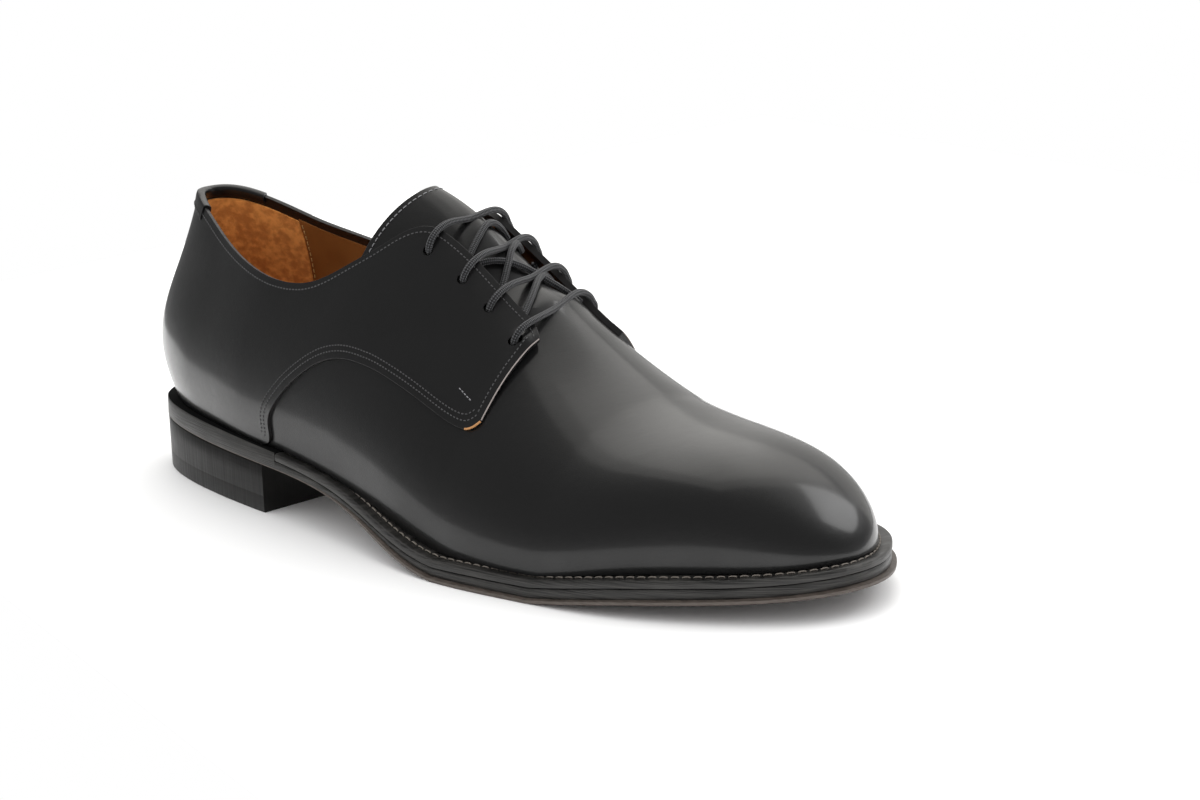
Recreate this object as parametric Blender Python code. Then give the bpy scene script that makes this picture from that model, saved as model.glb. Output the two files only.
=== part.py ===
"""A black derby shoe for the right foot, in Blender.

The shoe points along +X, its inner side faces +Y and it stands on z = 0.
Tables are in millimetres, with a row for each station along the shoe.
"""

from math import cos, pi, radians, sin

import bmesh
import bpy
import numpy as np
from mathutils import Matrix, Vector

MM = 0.001

# Driving sizes, in millimetres
SOLE_LENGTH = 297.0
FEATHER_HEEL = 3.0          # the upper starts this far ahead of the sole's back
FEATHER_TOE = 5.0           # and stops this far behind the sole's tip
WALL = 1.9                  # leather and lining of a quarter
VAMP_WALL = 1.7
VAMP_SEAT = 0.15            # the vamp's foot above the quarters'
LAP = 1.1                   # a quarter's outside above the vamp's
FACING_STAND = {-1: 3.4, 1: 2.3}   # the outer and inner facing's outside above the last
TONGUE_WALL = 1.6
GAP = 0.3                   # running gap between two pieces
WELT_THICKNESS = 2.5
WELT_WIDTH = 8.0
WELT_BACK = -62.0           # x where the welt ends, just ahead of the heel
LIP_HEIGHT = 1.1
INSOLE_THICKNESS = 3.0
HEEL_BREAST = -69.5
HEEL_TAPER = 0.8
TAB_WALL = 0.9
TAB_GAP = 0.5
EYELET_DIAMETER = 3.8
CUT_DEPTH = 6.0             # an eyelet's cutter passes right through the facing
LACE_DIAMETER = 2.2
LACE_ARCH = 2.0             # a bar's middle over the line between the facings
LACE_REST = GAP + LACE_DIAMETER / 2   # the lace's middle over what it lies on

# The last: half width and centre at the feather line, height of the ridge over it,
# how far the ridge leans to the inner side, and how full the section is
LAST_COLUMNS = ("station", "half_width", "centre", "height", "ridge_y", "belly", "rise", "shoulder")
LAST_TABLE = (
    (0.00, 0.0, 0.5, 91.0, 1.2, 0.20, 0.33, 0.53),
    (0.04, 18.8, 0.8, 91.0, 1.0, 0.20, 0.33, 0.52),
    (0.12, 29.0, 0.4, 89.0, 1.0, 0.22, 0.35, 0.52),
    (0.24, 32.0, -3.5, 93.0, 0.0, 0.21, 0.41, 0.52),
    (0.36, 32.5, -8.0, 95.0, 0.0, 0.20, 0.43, 0.49),
    (0.48, 37.5, -8.5, 89.5, 2.0, 0.20, 0.42, 0.48),
    (0.60, 46.5, -4.5, 66.8, 4.0, 0.12, 0.47, 0.54),
    (0.70, 50.0, -0.5, 49.0, 4.0, 0.08, 0.52, 0.60),
    (0.80, 46.0, 3.0, 37.8, 4.0, 0.08, 0.62, 0.66),
    (0.90, 35.0, 7.2, 28.8, 6.0, 0.07, 0.70, 0.70),
    (0.97, 20.5, 8.6, 15.2, 8.4, 0.07, 0.67, 0.69),
    (1.00, 0.0, 8.8, 0.0, 8.8, 0.08, 0.69, 0.69),
)

# The back seam: how far it stands from the vertical at five heights of the section
BACK_SEAM_COLUMNS = ("section", "forward")
BACK_SEAM_TABLE = (
    (0.0, 0.0),
    (0.2, -7.8),
    (0.4, 0.2),
    (0.6, 7.4),
    (0.8, 8.0),
    (1.0, 8.5),
)

# The sole: outline, height of its underside over the floor, thickness, and lip
SOLE_COLUMNS = ("station", "half_width", "centre", "underside", "thickness", "lip")
SOLE_TABLE = (
    (0.00, 0.0, 0.5, 18.3, 6.0, 0.0),
    (0.03, 19.5, 1.2, 18.3, 6.0, 0.0),
    (0.14, 32.1, -0.5, 17.5, 6.3, 0.0),
    (0.26, 35.2, -4.2, 16.8, 5.8, 0.0),
    (0.42, 35.5, -11.0, 12.2, 5.2, 0.4),
    (0.56, 47.0, -8.6, 1.3, 6.7, 1.2),
    (0.69, 53.4, -0.3, -0.7, 7.3, 1.3),
    (0.80, 50.3, 2.8, 3.4, 7.6, 1.3),
    (0.90, 40.6, 8.0, 6.0, 7.5, 1.4),
    (0.97, 22.2, 7.8, 7.6, 7.6, 1.6),
    (1.00, 0.0, 7.2, 8.8, 7.6, 1.8),
)

# The quarters: their lower edge, and the upper edge of the outer and the inner one, as heights
# of the section. The upper edge is the collar as far as the facing's top, then the facing.
QUARTER_COLUMNS = ("station", "lower", "outer_side", "inner_side")
QUARTER_TABLE = (
    (0.000, 0.000, 0.612, 0.612),
    (0.050, 0.000, 0.596, 0.596),
    (0.090, 0.000, 0.571, 0.568),
    (0.135, 0.000, 0.529, 0.528),
    (0.184, 0.000, 0.483, 0.488),
    (0.224, 0.000, 0.453, 0.462),
    (0.258, 0.000, 0.438, 0.450),
    (0.275, 0.020, 0.436, 0.447),
    (0.280, 0.073, 0.436, 0.446),
    (0.293, 0.122, 0.438, 0.447),
    (0.317, 0.180, 0.450, 0.455),
    (0.344, 0.235, 0.483, 0.486),
    (0.376, 0.287, 0.546, 0.549),
    (0.409, 0.319, 0.626, 0.648),
    (0.437, 0.335, 0.710, 0.722),
    (0.455, 0.344, 0.750, 0.734),
    (0.480, 0.354, 0.772, 0.716),
    (0.530, 0.374, 0.794, 0.702),
    (0.575, 0.392, 0.814, 0.710),
    (0.600, 0.418, 0.816, 0.716),
    (0.610, 0.460, 0.798, 0.702),
)

# The vamp's rear edge, which runs under the quarters, from the feather line to the ridge
VAMP_EDGE_COLUMNS = ("station", "section")
VAMP_EDGE_TABLE = (
    (0.247, 0.050),
    (0.262, 0.130),
    (0.290, 0.210),
    (0.330, 0.290),
    (0.375, 0.345),
    (0.430, 0.390),
    (0.470, 0.440),
    (0.500, 0.520),
    (0.526, 0.604),
    (0.548, 0.710),
    (0.568, 0.815),
    (0.582, 0.910),
    (0.590, 1.000),
)

# The quarter's wall has this many rows from its lower to its upper edge
QUARTER_ROWS = 8

# The back tab hangs down one row; in heights of the section, it clears the rim and folds over it
TAB_CLEARANCE = 0.005
TAB_FOLD = 0.009

# The tongue: its side edge and the stations of its top edge
TONGUE_SIDE = 0.52
TONGUE_SEAM = 0.0035        # turn between the tongue and the vamp's edge
TONGUE_TOP_AT_SIDE = 0.366
TONGUE_TOP_AT_RIDGE = 0.406
TONGUE_DEPTH_AT_SIDE = 3.5  # how far its outside lies under the last surface
TONGUE_DEPTH_AT_RIDGE = 4.0

# The eyelets, one row for each bar of the lace, counted from the top
EYELET_COLUMNS = ("outer_station", "outer_section", "inner_station", "inner_section")
EYELET_TABLE = (
    (0.466, 0.686, 0.457, 0.640),
    (0.514, 0.706, 0.493, 0.628),
    (0.552, 0.719, 0.530, 0.622),
    (0.593, 0.718, 0.563, 0.630),
)

# The runs under the bars: the outer end, then the inner end
LACE_RUN_COLUMNS = ("outer_station", "inner_station")
LACE_RUN_TABLE = (
    (0.498, 0.478),
    (0.545, 0.500),
    (0.578, 0.538),
    (0.515, 0.560),
)
LACE_RUN_END = {-1: 0.83, 1: 0.78}   # heights of the section where a run's ends lie


def column(table, names, name):
    """One named column of a table as an array."""
    place = names.index(name)
    return np.array([row[place] for row in table])


def spline(knots, values, start="flat", end="flat"):
    """A cubic curve through the values; an end is flat (no slope) or free (no bend)."""
    knots = np.asarray(knots, float)
    values = np.asarray(values, float)
    count = len(knots)
    step = np.diff(knots)
    slope = np.diff(values) / step
    matrix = np.zeros((count, count))
    right = np.zeros(count)
    for i in range(1, count - 1):
        matrix[i, i - 1] = step[i - 1]
        matrix[i, i] = 2 * (step[i - 1] + step[i])
        matrix[i, i + 1] = step[i]
        right[i] = 6 * (slope[i] - slope[i - 1])
    matrix[0, 0] = 1
    matrix[-1, -1] = 1
    if start == "flat":
        matrix[0, :2] = (2 * step[0], step[0])
        right[0] = 6 * slope[0]
    if end == "flat":
        matrix[-1, -2:] = (step[-1], 2 * step[-1])
        right[-1] = -6 * slope[-1]
    bend = np.linalg.solve(matrix, right)

    def curve(at):
        at = np.asarray(at, float)
        i = np.clip(np.searchsorted(knots, at) - 1, 0, count - 2)
        h = step[i]
        before = (knots[i + 1] - at) / h
        after = (at - knots[i]) / h
        bow = (before ** 3 - before) * bend[i] + (after ** 3 - after) * bend[i + 1]
        return before * values[i] + after * values[i + 1] + bow * h * h / 6

    return curve


def ease(value, low, high):
    """0 below low, 1 above high, and a smooth step between."""
    t = np.clip((np.asarray(value, float) - low) / (high - low), 0, 1)
    return t * t * (3 - 2 * t)


def angle_of(station):
    """Stations are spread along the shoe like a half turn seen from the side."""
    return np.arccos(1 - 2 * np.asarray(station, float))


def station_of(angle):
    return (1 - np.cos(angle)) / 2


def table_curves(table, names, shapes):
    """A curve over the half turn for each column but the first."""
    angles = angle_of(column(table, names, "station"))
    curves = {}
    for name in names[1:]:
        start, end = shapes.get(name, ("flat", "flat"))
        curves[name] = spline(angles, column(table, names, name), start, end)
    return curves


LAST = table_curves(LAST_TABLE, LAST_COLUMNS, {"half_width": ("free", "free"), "height": ("flat", "free")})
SOLE = table_curves(SOLE_TABLE, SOLE_COLUMNS, {"half_width": ("free", "free")})
BACK_SEAM = spline(
    column(BACK_SEAM_TABLE, BACK_SEAM_COLUMNS, "section"),
    column(BACK_SEAM_TABLE, BACK_SEAM_COLUMNS, "forward"),
    "free",
    "free",
)
QUARTER_TOPS = {
    side: spline(
        angle_of(column(QUARTER_TABLE, QUARTER_COLUMNS, "station")),
        column(QUARTER_TABLE, QUARTER_COLUMNS, name),
        "flat",
        "free",
    )
    for side, name in ((-1, "outer_side"), (1, "inner_side"))
}
TAB_REACH = 0.058
TAB_ANGLES = np.linspace(0, float(angle_of(TAB_REACH)), 7)
SOLE_BACK = -SOLE_LENGTH / 2
WELT_ANGLE = float(angle_of((WELT_BACK - SOLE_BACK) / SOLE_LENGTH))
SOLE_ANGLES = np.linspace(0, pi, 43)
LAST_BACK = SOLE_BACK + FEATHER_HEEL
LAST_LENGTH = SOLE_LENGTH - FEATHER_HEEL - FEATHER_TOE


def quarter_top(turn):
    """Height of the section at a quarter's upper edge."""
    return np.where(turn < 0, QUARTER_TOPS[-1](np.abs(turn)), QUARTER_TOPS[1](np.abs(turn)))


def underside(x):
    """Height of the sole's underside: arch and toe spring, flat where it meets the floor."""
    angle = angle_of(np.clip((np.asarray(x) - SOLE_BACK) / SOLE_LENGTH, 0, 1))
    return np.maximum(SOLE["underside"](angle), 0)


def sole_top(x):
    angle = angle_of(np.clip((np.asarray(x) - SOLE_BACK) / SOLE_LENGTH, 0, 1))
    return underside(x) + SOLE["thickness"](angle)


def last_point(turn, section):
    """A point on the last: turn runs from the back seam, minus on the outer side, to the toe."""
    turn = np.mod(np.asarray(turn, float) + pi, 2 * pi) - pi
    side = np.where(turn < 0, -1.0, 1.0)
    angle = np.abs(turn)
    shape = {name: curve(angle) for name, curve in LAST.items()}
    low = (1 - section) ** 3
    belly = 3 * (1 - section) ** 2 * section
    shoulder = 3 * (1 - section) * section ** 2
    ridge = section ** 3
    spread = shape["half_width"] * (low + belly * (1 + shape["belly"]) + shoulder * shape["shoulder"])
    lean = (shape["ridge_y"] - shape["centre"]) * (shoulder + ridge)
    climb = shape["height"] * (belly * shape["rise"] + shoulder + ridge)
    feather_x = LAST_BACK + LAST_LENGTH * station_of(angle)
    x = feather_x + BACK_SEAM(section) * ((1 + np.cos(angle)) / 2) ** 3
    y = shape["centre"] + side * spread + lean
    z = sole_top(feather_x) + GAP + climb
    return np.stack(np.broadcast_arrays(x, y, z), -1)


def last_normal(turn, section):
    """The outward direction of the last surface."""
    small = 1e-4
    along = last_point(turn + small, section) - last_point(turn - small, section)
    upward = last_point(turn, section + small) - last_point(turn, section - small)
    normal = np.cross(upward, along)
    length = np.linalg.norm(normal, axis=-1, keepdims=True)
    forward = np.zeros_like(normal)
    forward[..., 0] = 1
    return np.where(length > 1e-12, normal / np.maximum(length, 1e-12), forward)


def on_last(turn, section, stand):
    """The point that stands this far off the last surface."""
    turn = np.asarray(turn, float)
    section = np.asarray(section, float)
    return last_point(turn, section) + last_normal(turn, section) * np.asarray(stand)[..., None]


def quarter_stand(turn, section):
    """How far a quarter's outside stands off the last: lapped on the vamp, proud at the facing."""
    station = station_of(np.abs(turn))
    lap = LAP * ease(station, 0.12, 0.24)
    full = np.where(np.asarray(turn) < 0, FACING_STAND[-1], FACING_STAND[1])
    facing = (full - LAP) * ease(section, 0.45, 0.74) * ease(station, 0.36, 0.46)
    return lap + facing


def vamp_stand(turn, section):
    return np.zeros(np.broadcast(turn, section).shape)


def tongue_stand(turn, section):
    """The tongue lies under the facings, and rises to the vamp where they meet."""
    ridge = ease(section, 0.62, 0.9)
    depth = TONGUE_DEPTH_AT_SIDE + (TONGUE_DEPTH_AT_RIDGE - TONGUE_DEPTH_AT_SIDE) * ridge
    return -depth * (1 - ease(station_of(np.abs(turn)), 0.545, 0.583))


def new_object(name, colour, roughness, vertices, faces):
    """An object from points in millimetres, with its own material."""
    mesh = bpy.data.meshes.new(name)
    mesh.from_pydata([tuple(MM * c for c in point) for point in vertices], [], faces)
    made = bmesh.new()
    made.from_mesh(mesh)
    bmesh.ops.recalc_face_normals(made, faces=made.faces)
    bmesh.ops.triangulate(made, faces=made.faces)
    made.to_mesh(mesh)
    made.free()
    material = bpy.data.materials.new(name)
    material.use_nodes = True
    shader = material.node_tree.nodes["Principled BSDF"]
    shader.inputs["Base Color"].default_value = (*colour, 1.0)
    shader.inputs["Roughness"].default_value = roughness
    shader.inputs["Metallic"].default_value = 0.0
    mesh.materials.append(material)
    mesh.shade_smooth()
    mesh.set_sharp_from_angle(angle=radians(40))
    made_object = bpy.data.objects.new(name, mesh)
    bpy.context.scene.collection.objects.link(made_object)
    return made_object


def weld(points, faces):
    """Points that share a place become one, and faces that lose their area go."""
    keys = {}
    place = []
    kept = []
    for point in points:
        key = tuple(np.round(point, 4))
        if key not in keys:
            keys[key] = len(kept)
            kept.append(point)
        place.append(keys[key])
    welded = []
    for face in faces:
        ring = []
        for index in face:
            if place[index] not in ring:
                ring.append(place[index])
        if len(ring) > 2:
            welded.append(ring)
    return kept, welded, place


def grid_faces(rows, columns, first=0):
    """Quads between neighbouring columns of a grid whose points run column by column."""
    faces = []
    for c in range(columns - 1):
        for r in range(rows - 1):
            a = first + c * rows + r
            faces.append((a, a + rows, a + rows + 1, a + 1))
    return faces


def shell(name, colour, roughness, grids, stand, wall, seat=None):
    """A sheet of one or more grids on the last, thickened inwards to a closed wall.

    Each grid is a pair of arrays, turn and section, one row for each column of points.
    seat is the height of its foot over the feather line, where it has one.
    """
    turns = np.concatenate([turn.ravel() for turn, section in grids])
    sections = np.concatenate([section.ravel() for turn, section in grids])
    faces = []
    first = 0
    for turn, section in grids:
        faces += grid_faces(turn.shape[1], turn.shape[0], first)
        first += turn.size
    middle = last_point(turns, sections)
    kept, faces, place = weld(middle, faces)
    chosen = [place.index(i) for i in range(len(kept))]
    turns = turns[chosen]
    sections = sections[chosen]
    height = stand(np.mod(turns + pi, 2 * pi) - pi, sections)
    outer = on_last(turns, sections, height)
    inner = on_last(turns, sections, height - wall)
    if seat is not None:
        foot = sections < 1e-9
        feather = last_point(turns, sections)[:, 2] + seat
        outer[foot, 2] = feather[foot]
        inner[foot, 2] = feather[foot]
    count = len(kept)
    edges = {}
    for face in faces:
        for a, b in zip(face, face[1:] + face[:1]):
            edges[(a, b)] = True
    closed = [list(face) for face in faces]
    closed += [[index + count for index in reversed(face)] for face in faces]
    closed += [[b, a, a + count, b + count] for a, b in edges if (b, a) not in edges]
    return new_object(name, colour, roughness, np.concatenate([outer, inner]), closed)


def spaced(values, extra=0):
    """The values with this many more spread evenly between each two."""
    values = np.asarray(values, float)
    places = np.arange(len(values))
    return np.interp(np.linspace(0, len(values) - 1, (len(values) - 1) * (extra + 1) + 1), places, values)


def make_quarters():
    """Both quarters as one wall that wraps the heel from facing to facing."""
    edge_angles = angle_of(column(QUARTER_TABLE, QUARTER_COLUMNS, "station"))
    angle = spaced(np.concatenate([TAB_ANGLES[-1:], edge_angles[edge_angles > TAB_ANGLES[-1]]]), 1)
    angle = np.concatenate([TAB_ANGLES[:-1], angle])
    turn = np.concatenate([-angle[::-1], angle[1:]])
    lower = np.interp(np.abs(turn), edge_angles, column(QUARTER_TABLE, QUARTER_COLUMNS, "lower"))
    upper = quarter_top(turn)
    share = np.linspace(0, 1, QUARTER_ROWS + 1)
    section = lower[:, None] + (upper - lower)[:, None] * share
    turns = np.repeat(turn[:, None], len(share), axis=1)
    return shell("quarters", BLACK, 0.25, [(turns, section)], quarter_stand, WALL, 0.0)


def make_vamp():
    """Toe and sides in one piece, with two wings that run back under the quarters."""
    rows = 9
    share = np.linspace(0, 1, rows)
    edge_angle = angle_of(column(VAMP_EDGE_TABLE, VAMP_EDGE_COLUMNS, "station"))
    edge_section = column(VAMP_EDGE_TABLE, VAMP_EDGE_COLUMNS, "section")
    foot_angle = np.linspace(edge_angle[0], edge_angle[-1], len(edge_angle))
    wing_turn = foot_angle[:, None] + (edge_angle - foot_angle)[:, None] * share
    wing_section = edge_section[:, None] * share
    toe_angle = edge_angle[-1] + (pi - edge_angle[-1]) * np.linspace(0, 1, 17)
    toe_turn = np.repeat(toe_angle[:, None], rows, axis=1)
    toe_section = np.repeat(share[None, :], len(toe_angle), axis=0)
    inner_side = [(wing_turn, wing_section), (toe_turn, toe_section)]
    outer_side = [(-turn[::-1], section[::-1]) for turn, section in inner_side]
    return shell("vamp", BLACK, 0.25, inner_side + outer_side, vamp_stand, VAMP_WALL, VAMP_SEAT)


def make_tongue():
    """The tongue follows the instep under the facings, up past their tops."""
    edge_section = column(VAMP_EDGE_TABLE, VAMP_EDGE_COLUMNS, "section")
    edge_angle = angle_of(column(VAMP_EDGE_TABLE, VAMP_EDGE_COLUMNS, "station"))
    half = spaced(edge_section[edge_section >= TONGUE_SIDE], 1)
    front = np.interp(half, edge_section, edge_angle) - TONGUE_SEAM
    rise = ease(half, TONGUE_SIDE, 1.0)
    top = angle_of(TONGUE_TOP_AT_SIDE + (TONGUE_TOP_AT_RIDGE - TONGUE_TOP_AT_SIDE) * rise)
    share = np.linspace(0, 1, 13)
    turn = top[:, None] + (front - top)[:, None] * share
    section = np.repeat(half[:, None], len(share), axis=1)
    grids = [(turn, section), (-turn[::-1], section[::-1])]
    return shell("tongue", BLACK, 0.3, grids, tongue_stand, TONGUE_WALL)


def cylinder_between(name, centre, direction, diameter, depth, sides):
    """A hidden cutter: a cylinder along a direction."""
    made = bmesh.new()
    bmesh.ops.create_cone(
        made,
        cap_ends=True,
        segments=sides,
        radius1=diameter * MM / 2,
        radius2=diameter * MM / 2,
        depth=depth * MM,
    )
    turn = Vector((0, 0, 1)).rotation_difference(Vector(direction)).to_matrix().to_4x4()
    made.transform(Matrix.Translation(Vector(centre) * MM) @ turn)
    mesh = bpy.data.meshes.new(name)
    made.to_mesh(mesh)
    made.free()
    cutter = bpy.data.objects.new(name, mesh)
    bpy.context.scene.collection.objects.link(cutter)
    hide(cutter)
    return cutter


def hide(guide):
    guide.hide_render = True
    guide.display_type = "WIRE"


def combine(target, tool, operation):
    """An exact Boolean of one object with another, which is hidden."""
    modifier = target.modifiers.new(tool.name, "BOOLEAN")
    modifier.object = tool
    modifier.operation = operation
    modifier.solver = "EXACT"
    hide(tool)


def eyelet(row, side):
    """Turn and section of an eyelet's middle."""
    name = "outer" if side < 0 else "inner"
    station = column(EYELET_TABLE, EYELET_COLUMNS, name + "_station")[row]
    section = column(EYELET_TABLE, EYELET_COLUMNS, name + "_section")[row]
    return side * float(angle_of(station)), float(section)


def make_upper():
    """Vamp and quarters sewn into one hollow wall, with the eyelets punched."""
    upper = make_quarters()
    upper.name = "upper"
    for row in range(len(EYELET_TABLE)):
        for side in (-1, 1):
            turn, section = eyelet(row, side)
            centre = on_last(turn, section, quarter_stand(turn, section) - WALL / 2)
            direction = last_normal(np.asarray(turn), np.asarray(section))
            cutter = cylinder_between("eyelet", centre, direction, EYELET_DIAMETER, CUT_DEPTH, 8)
            combine(upper, cutter, "DIFFERENCE")
    combine(upper, make_vamp(), "UNION")
    return upper


def outline(angle, side, inset=0.0):
    """A point of the sole's outline, set in by this much across its edge."""
    def edge(at):
        x = SOLE_BACK + SOLE_LENGTH * station_of(at)
        y = SOLE["centre"](at) + side * SOLE["half_width"](at)
        return np.stack([x, y], -1)

    angle = np.asarray(angle, float)
    small = 1e-3
    low = np.clip(angle - small, 0, pi)
    high = np.clip(angle + small, 0, pi)
    tangent = edge(high) - edge(low)
    tangent[angle < small] = (0, side)
    tangent[angle > pi - small] = (0, -side)
    tangent /= np.linalg.norm(tangent, axis=-1, keepdims=True)
    inward = np.stack([side * tangent[..., 1], -side * tangent[..., 0]], -1)
    return edge(angle) + inward * np.asarray(inset)[..., None]


def sole_angles(start, end, spacing):
    count = max(int(round((end - start) / spacing)), 2) + 1
    return np.linspace(start, end, count)


def loft(name, colour, roughness, rings, closed_ends):
    """Rings of equal count joined one after another, capped or run to a point at the ends."""
    count = len(rings[0])
    points = np.concatenate(rings)
    faces = []
    for k in range(len(rings) - 1):
        for i in range(count):
            j = (i + 1) % count
            faces.append((k * count + i, k * count + j, (k + 1) * count + j, (k + 1) * count + i))
    if closed_ends:
        faces.append(tuple(range(count)))
        faces.append(tuple((len(rings) - 1) * count + i for i in range(count)))
    kept, faces, place = weld(points, faces)
    return new_object(name, colour, roughness, kept, faces)


def level(points, height):
    """Plan points lifted to a height over the floor that may follow x."""
    x = points[..., 0]
    z = height(x) if callable(height) else np.full(x.shape, float(height))
    return np.concatenate([points, z[..., None]], -1)


def make_outsole():
    """Leather sole with arch and toe spring, stepped down at the edge for the welt."""
    angles = np.sort(np.append(SOLE_ANGLES, [WELT_ANGLE, WELT_ANGLE]))
    stepped = angles > WELT_ANGLE
    first_step = int(np.argmax(stepped))
    stepped[first_step - 1] = True
    half = {}
    for side in (-1, 1):
        lip = SOLE["lip"](angles)
        inner = np.where(stepped, WELT_WIDTH + GAP, WELT_WIDTH)
        edge = outline(angles, side)
        ledge_edge = level(edge, sole_top)
        ledge_inner = level(outline(angles, side, inner), sole_top)
        drop = np.where(stepped, WELT_THICKNESS + GAP, 0.0)
        ledge_edge[:, 2] -= drop
        ledge_low = ledge_inner.copy()
        ledge_low[:, 2] -= drop
        bottom = level(outline(angles, side, -lip), underside)
        lip_top = bottom.copy()
        lip_top[:, 2] += LIP_HEIGHT * ease(lip, 0, 0.8) + 0.05
        lip_root = level(edge, underside)
        lip_root[:, 2] += LIP_HEIGHT * ease(lip, 0, 0.8) + 0.25
        half[side] = [bottom, lip_top, lip_root, ledge_edge, ledge_low, ledge_inner]
    rings = []
    for k in range(len(angles)):
        ring = [part[k] for part in half[-1]] + [part[k] for part in reversed(half[1])]
        rings.append(np.array(ring))
    return loft("outsole", SOLE_BLACK, 0.4, rings, False)


def make_welt():
    """A strip that lies on the sole's step, from the waist round the toe."""
    welt_angle = WELT_ANGLE + 0.004
    angles = SOLE_ANGLES[SOLE_ANGLES > welt_angle]
    angles = np.concatenate([[welt_angle], angles])
    rings = []
    for side, run in ((-1, angles), (1, angles[::-1][1:])):
        for angle in run:
            at = np.array([angle])
            edge = outline(at, side)[0]
            inner = outline(at, side, WELT_WIDTH)[0]
            ring = []
            for plan, drop in ((edge, WELT_THICKNESS), (edge, 0), (inner, 0), (inner, WELT_THICKNESS)):
                ring.append((plan[0], plan[1], float(sole_top(plan[0])) - drop))
            rings.append(np.array(ring))
    return loft("welt", SOLE_BLACK, 0.45, rings, True)


def make_insole():
    """The board that the foot stands on, just inside the upper's wall."""
    clearance = WALL + 0.6
    angles = sole_angles(0.0, pi, 0.1)
    rings = []
    for angle in angles:
        ring = []
        for side in (-1, 1):
            turn = side * max(min(angle, pi - 1e-3), 1e-3)
            rim = last_point(turn, 0.0)
            inward = last_normal(np.asarray(turn), np.asarray(0.0))
            inward[2] = 0
            inward /= np.linalg.norm(inward)
            x, y = (rim - inward * clearance)[:2]
            low = float(sole_top(x)) + GAP
            heights = (low, low + INSOLE_THICKNESS)
            heights = heights if side < 0 else heights[::-1]
            ring += [(x, y, z) for z in heights]
        rings.append(np.array(ring))
    return loft("insole", TAN, 0.7, rings, True)


def make_heel():
    """Stacked heel, a little smaller at the floor, with a flat breast."""
    breast = float(angle_of((HEEL_BREAST - SOLE_BACK) / SOLE_LENGTH))
    angles = sole_angles(0, breast, 0.09)
    rings = []
    for angle in angles:
        at = np.array([angle])
        ring = []
        for side in (-1, 1):
            top = outline(at, side, 0.1)[0]
            foot = outline(at, side, HEEL_TAPER)[0]
            pair = [(foot[0], foot[1], 0.0), (top[0], top[1], float(underside(top[0])) - GAP)]
            ring += pair if side < 0 else pair[::-1]
        rings.append(np.array(ring))
    return loft("heel", SOLE_BLACK, 0.35, rings, True)


def make_back_tab():
    """A thin strip folded over the collar at the back seam."""
    rings = []
    for turn in np.concatenate([-TAB_ANGLES[:0:-1], TAB_ANGLES]):
        edge = float(quarter_top(turn))
        foot = edge * (1 - 1 / QUARTER_ROWS)
        fold = edge + TAB_CLEARANCE
        top = fold + TAB_FOLD
        outside = TAB_GAP + TAB_WALL
        profile = (
            (foot, TAB_GAP),
            (foot, outside),
            (top, outside),
            (top, -WALL - outside),
            (foot, -WALL - outside),
            (foot, -WALL - TAB_GAP),
            (fold, -WALL - TAB_GAP),
            (fold, TAB_GAP),
        )
        rings.append(np.array([on_last(turn, section, stand) for section, stand in profile]))
    return loft("back_tab", BLACK, 0.3, rings, True)


def smooth_path(points, count):
    """Evenly placed points along a smooth curve through a few."""
    points = np.asarray(points, float)
    steps = np.linalg.norm(np.diff(points, axis=0), axis=1)
    run = np.concatenate([[0], np.cumsum(steps)])
    at = np.linspace(0, run[-1], count)
    return np.stack([spline(run, points[:, k], "free", "free")(at) for k in range(3)], -1)


def tube(name, points, diameter, sides):
    """A round lace along a path, with flat ends."""
    tangents = np.gradient(points, axis=0)
    tangents /= np.linalg.norm(tangents, axis=1, keepdims=True)
    normal = np.cross(tangents[0], (0, 0, 1))
    rings = []
    for point, tangent in zip(points, tangents):
        normal = normal - tangent * np.dot(normal, tangent)
        normal /= np.linalg.norm(normal)
        second = np.cross(tangent, normal)
        ring = []
        for k in range(sides):
            turn = 2 * pi * k / sides
            ring.append(point + diameter / 2 * (cos(turn) * normal + sin(turn) * second))
        rings.append(np.array(ring))
    return loft(name, LACE_BLACK, 0.8, rings, True)


def facing_point(turn, section, over):
    return on_last(turn, section, float(quarter_stand(turn, section)) + over)


def make_lace_bar(row):
    """One bar: along a facing from its eyelet, across the gap and along the other."""
    halves = {}
    for side in (-1, 1):
        turn, hole = eyelet(row, side)
        edge = float(quarter_top(turn))
        near = [hole + (edge - hole) * share for share in (0.2, 0.65)]
        run = [facing_point(turn, section, LACE_REST) for section in near]
        run.append(facing_point(turn, edge + 0.01, LACE_REST + 0.2))
        halves[side] = run
    middle = (halves[-1][-1] + halves[1][-1]) / 2
    middle[2] += LACE_ARCH
    route = halves[-1] + [middle] + halves[1][::-1]
    return tube(f"lace_bar_{row + 1}", smooth_path(route, 15), LACE_DIAMETER, 8)


def make_lace_run(row):
    """A run on the tongue, from the outer facing over the ridge to the inner one."""
    outer = column(LACE_RUN_TABLE, LACE_RUN_COLUMNS, "outer_station")[row]
    inner = column(LACE_RUN_TABLE, LACE_RUN_COLUMNS, "inner_station")[row]
    route = []
    for share in (0.0, 0.25, 0.5, 0.75, 1.0):
        side = -1 if share <= 0.5 else 1
        ridge = 1 - abs(2 * share - 1)
        section = LACE_RUN_END[side] + (1 - LACE_RUN_END[side]) * ridge
        turn = side * float(angle_of(outer + (inner - outer) * share))
        route.append(on_last(turn, section, float(tongue_stand(turn, section)) + LACE_REST))
    return tube(f"lace_run_{row}", smooth_path(route, 11), LACE_DIAMETER, 8)


def make_lace_crossings():
    """The runs under the bars: the top one by itself, and the three that cross each other."""
    runs = [make_lace_run(row) for row in range(len(LACE_RUN_TABLE))]
    runs[0].name = "lace_run_top"
    crossings = runs[3]
    crossings.name = "lace_crossings"
    for other in runs[1:3]:
        combine(crossings, other, "UNION")


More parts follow.
